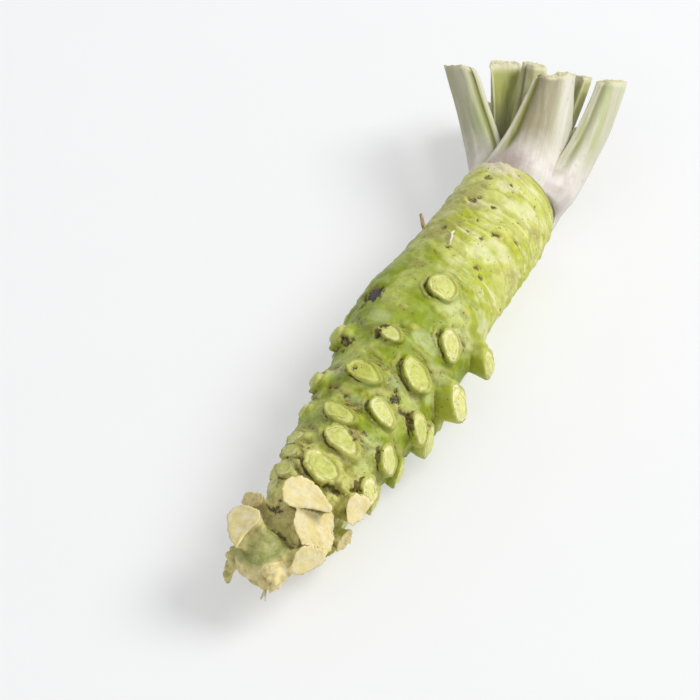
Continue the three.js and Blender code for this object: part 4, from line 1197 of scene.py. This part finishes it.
outer_material = stalk_material(
    "outer_stalk_flesh", sheath=(0.8, 0.755, 0.69), outer=(0.56, 0.54, 0.38), green_band=(0.45, 0.48, 0.23),
    dusky=(0.33, 0.285, 0.165), inner=(0.46, 0.48, 0.18), inner_deep=(0.22, 0.225, 0.035),
    margin_colour=(0.7, 0.67, 0.48),
)
inner_material = stalk_material(
    "inner_stalk_flesh", sheath=(0.48, 0.47, 0.2), outer=(0.44, 0.42, 0.22), green_band=(0.42, 0.42, 0.15),
    dusky=(0.31, 0.28, 0.14), inner=(0.34, 0.36, 0.08), inner_deep=(0.14, 0.14, 0.02),
    margin_colour=(0.56, 0.55, 0.27),
)
for seed, (name, stalk) in enumerate(OUTER_STALKS.items()):
    piece = make_stalk(name, seed, OUTER_RADIUS, OUTER_EDGE, **stalk)
    piece.data.materials.append(outer_material)
    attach(piece, "root")
    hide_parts(name)
for seed, (name, stalk) in enumerate(INNER_STALKS.items(), len(OUTER_STALKS)):
    piece = make_stalk(name, seed, INNER_RADIUS, INNER_EDGE, **INNER_SHAPE, **stalk)
    piece.data.materials.append(inner_material)
    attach(piece, "root")
    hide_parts(name)

# ---- Heart of the crown --------------------------------------------------------------------------------
# The youngest stalk is a short round bud of tender yellow-green flesh. It stands in the middle, between the
# others, and was cut off low.

HEART_TOP = (-5, 3, 32)  # its middle there: up, right and along
HEART_THICK, HEART_WIDTH, HEART_TAPER = 4.4, 6.4, 0.25
HEART_COLOUR = (0.5, 0.52, 0.22)
heart, x, y, t = copy_blade("leaf_stalk_heart_flesh")
top_up, top_right, top_along = HEART_TOP
size = (1 - HEART_TAPER * t) / 2 * (1 + 0.04 * np.sin(7 * np.arctan2(y, x)) * np.hypot(x, y))
finish_blade(
    heart, top_up * t + x * size * HEART_THICK + 0.3 * np.sin(9 * t), top_right * t + y * size * HEART_WIDTH,
    top_along * t + 0.3 * np.sin(5 * x + 3 * y) * t ** 9,
)
keep(
    heart, fibre=np.column_stack([np.arctan2(y, x) * 2, t * top_along, np.hypot(x, y)]),
    outer_side=np.ones(len(t)), up_stalk=t, cut_end=(t > 0.999).astype(float),
    **{name: np.zeros(len(t)) for name in ("across_blade", "groove", "dusky", "bruise", "pallor")},
)
bpy.data.objects.remove(blade)
heart.data.materials.append(stalk_material(
    "heart_stalk_flesh", sheath=(0.6, 0.6, 0.34), outer=HEART_COLOUR, green_band=(0.42, 0.46, 0.15),
    dusky=HEART_COLOUR, inner=HEART_COLOUR, inner_deep=(0.4, 0.42, 0.15), margin_colour=HEART_COLOUR,
))
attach(heart, "root")
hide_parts("leaf_stalk_heart")

# ---- Loose fibres --------------------------------------------------------------------------------------
# A few dry bits that washing left on the root: the stub of a rootlet, two pale fibres that lie on the skin
# near the crown, and a tuft of torn hairs at the very tip. Each grows out of the skin or sticks to it.

WISP_SIDES = 10


def wisp(name, path, colour, dark_colour):
    """A thin tapering strand, extruded through places given in millimetres with its radius at each."""
    piece = tube(name, WISP_SIDES, path, facing=path[1][0] - path[0][0])
    bpy.ops.object.shade_smooth()
    material, tree, surface = new_material(name + "_dry")
    position = in_millimetres(tree)
    dried = tint(step(grain(position, 1.2, 4, 0.7), 0.4, 0.62), colour, dark_colour)
    sockets = {"Position": position, "Size": 2.5}
    husk = add_node(tree, "ShaderNodeGroup", sockets, node_tree=flesh_grain).outputs
    roughness = step(husk["Pores"], 0, 1, 0.6, 0.75)
    finish_surface(surface, dried, roughness, husk["Height"], strength=0.5, depth=0.15)
    piece.data.materials.append(material)
    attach(piece, "root")


def on_skin(*stops):
    """Places with a radius at each, from (distance along, degrees around, height over the body, radius)."""
    path = []
    for along, around, height, radius in stops:
        foot, _, out = local_frame(along, around)
        path.append((foot + out * height, radius))
    return path


wisp("rootlet_stub", on_skin(
    (134, -56, -1, 0.9), (135, -55, 1.0, 0.75), (136, -54, 2.2, 0.6), (137, -54, 3.4, 0.65),
    (137.4, -54, 3.8, 0.4),
), (0.5, 0.4, 0.22), (0.3, 0.2, 0.08))
wisp("pale_curl", on_skin(
    (129.6, -6.5, 0.2, 0.3), (128.6, -5, 0.8, 0.42), (127.4, -5.4, 1.1, 0.4), (126.6, -3, 0.9, 0.42),
    (125, -2, 0.6, 0.34), (123.4, 0, 0.2, 0.2),
), (0.86, 0.84, 0.74), (0.7, 0.66, 0.5))
wisp("pale_fibre", on_skin(
    (154.6, 17.6, 0.25, 0.2), (155.6, 18.2, 0.6, 0.36), (157.4, 19.2, 0.6, 0.36), (158.6, 19.6, 0.25, 0.2),
), (0.84, 0.83, 0.56), (0.7, 0.7, 0.4))
TIP_HAIRS = [(-4.6, 3.4, -3.6), (-4.2, 4.4, -4.2), (-4.0, 2.6, -4.6)]  # where each ends: along, right and up
for number, hair_end in enumerate(TIP_HAIRS):
    root_place, tip_place = near_tip_point(-1.4, 3.2, -2.2), near_tip_point(*hair_end)
    halfway = root_place.lerp(tip_place, 0.55) + UP * 0.3
    path = [(root_place, 0.4), (halfway, 0.3), (tip_place, 0.12)]
    wisp(f"tip_hair_{number}", path, (0.8, 0.76, 0.62), (0.6, 0.5, 0.3))

# ---- Floor, light and camera ---------------------------------------------------------------------------
# The root lies on a plain pale floor before a pale backdrop. One broad soft lamp stands high behind the right
# shoulder, and a weak one fills the shadows from the left.


def seen(tree):
    """1 where something is looked at, straight, mirrored or through glass, and 0 where it only lights."""
    rays = add_node(tree, "ShaderNodeLightPath", {}).outputs
    looked_at = math_node("MAXIMUM", rays["Is Camera Ray"], rays["Is Glossy Ray"])
    return math_node("MAXIMUM", looked_at, rays["Is Transmission Ray"])


FLOOR_SIZE = 8  # metres
deselect()
bpy.ops.mesh.primitive_plane_add(size=FLOOR_SIZE, location=(0, 0, 0))
floor = bpy.context.object
floor.name = "floor"
floor_material, tree, surface = new_material("floor_paper")
surface.inputs["Roughness"].default_value = 0.9
paper_grain = grain(add_node(tree, "ShaderNodeTexCoord", {}).outputs["Object"], 30, 3, 0.5)
tree.links.new(tint(paper_grain, (0.87, 0.87, 0.87), (0.89, 0.89, 0.89)), surface.inputs["Base Color"])
glow = add_node(tree, "ShaderNodeEmission", {"Color": (1, 1, 1, 1), "Strength": 1.0})
sockets = {0: times(seen(tree), 0.4), 1: surface.outputs[0], 2: glow.outputs[0]}
paper = add_node(tree, "ShaderNodeMixShader", sockets)
tree.links.new(paper.outputs[0], tree.nodes["Material Output"].inputs["Surface"])
floor.data.materials.append(floor_material)

world = bpy.data.worlds.new("studio")
world.use_nodes = True
sky = world.node_tree.nodes["Background"]
sky.inputs["Color"].default_value = (0.95, 0.97, 1, 1)
world.node_tree.links.new(step(seen(world.node_tree), 0, 1, 0.45, 1), sky.inputs["Strength"])
bpy.context.scene.world = world


def lamp(name, towards, distance, size, power):
    """A round lamp that shines on the middle of the scene: distance and size in metres, power in watts."""
    light = bpy.data.lights.new(name, "AREA")
    light.shape = "DISK"
    light.size = size
    light.energy = power
    holder = bpy.data.objects.new(name, light)
    bpy.context.scene.collection.objects.link(holder)
    holder.location = Vector(towards).normalized() * distance
    holder.rotation_euler = Vector(towards).to_track_quat("Z", "Y").to_euler()


lamp("key", (0.5, -0.6, 0.8), distance=2.4, size=1.3, power=44)
lamp("fill", (-0.9, 0.1, 0.8), distance=2.6, size=1.8, power=6)

CAMERA_PLACE = (-0.39498, -0.18006, 0.44367)  # metres
VIEW_HEADING, VIEW_ELEVATION = math.radians(26.9), math.radians(46)
LENS, SENSOR = 100, 36
level = math.cos(VIEW_ELEVATION)
view = Vector((math.cos(VIEW_HEADING) * level, math.sin(VIEW_HEADING) * level, -math.sin(VIEW_ELEVATION)))
camera_data = bpy.data.cameras.new("camera")
camera_data.lens = LENS
camera_data.sensor_width = SENSOR
camera = bpy.data.objects.new("camera", camera_data)
bpy.context.scene.collection.objects.link(camera)
camera.location = CAMERA_PLACE
camera.rotation_euler = view.to_track_quat("-Z", "Y").to_euler()
bpy.context.scene.camera = camera
bpy.context.scene.view_settings.view_transform = "Standard"
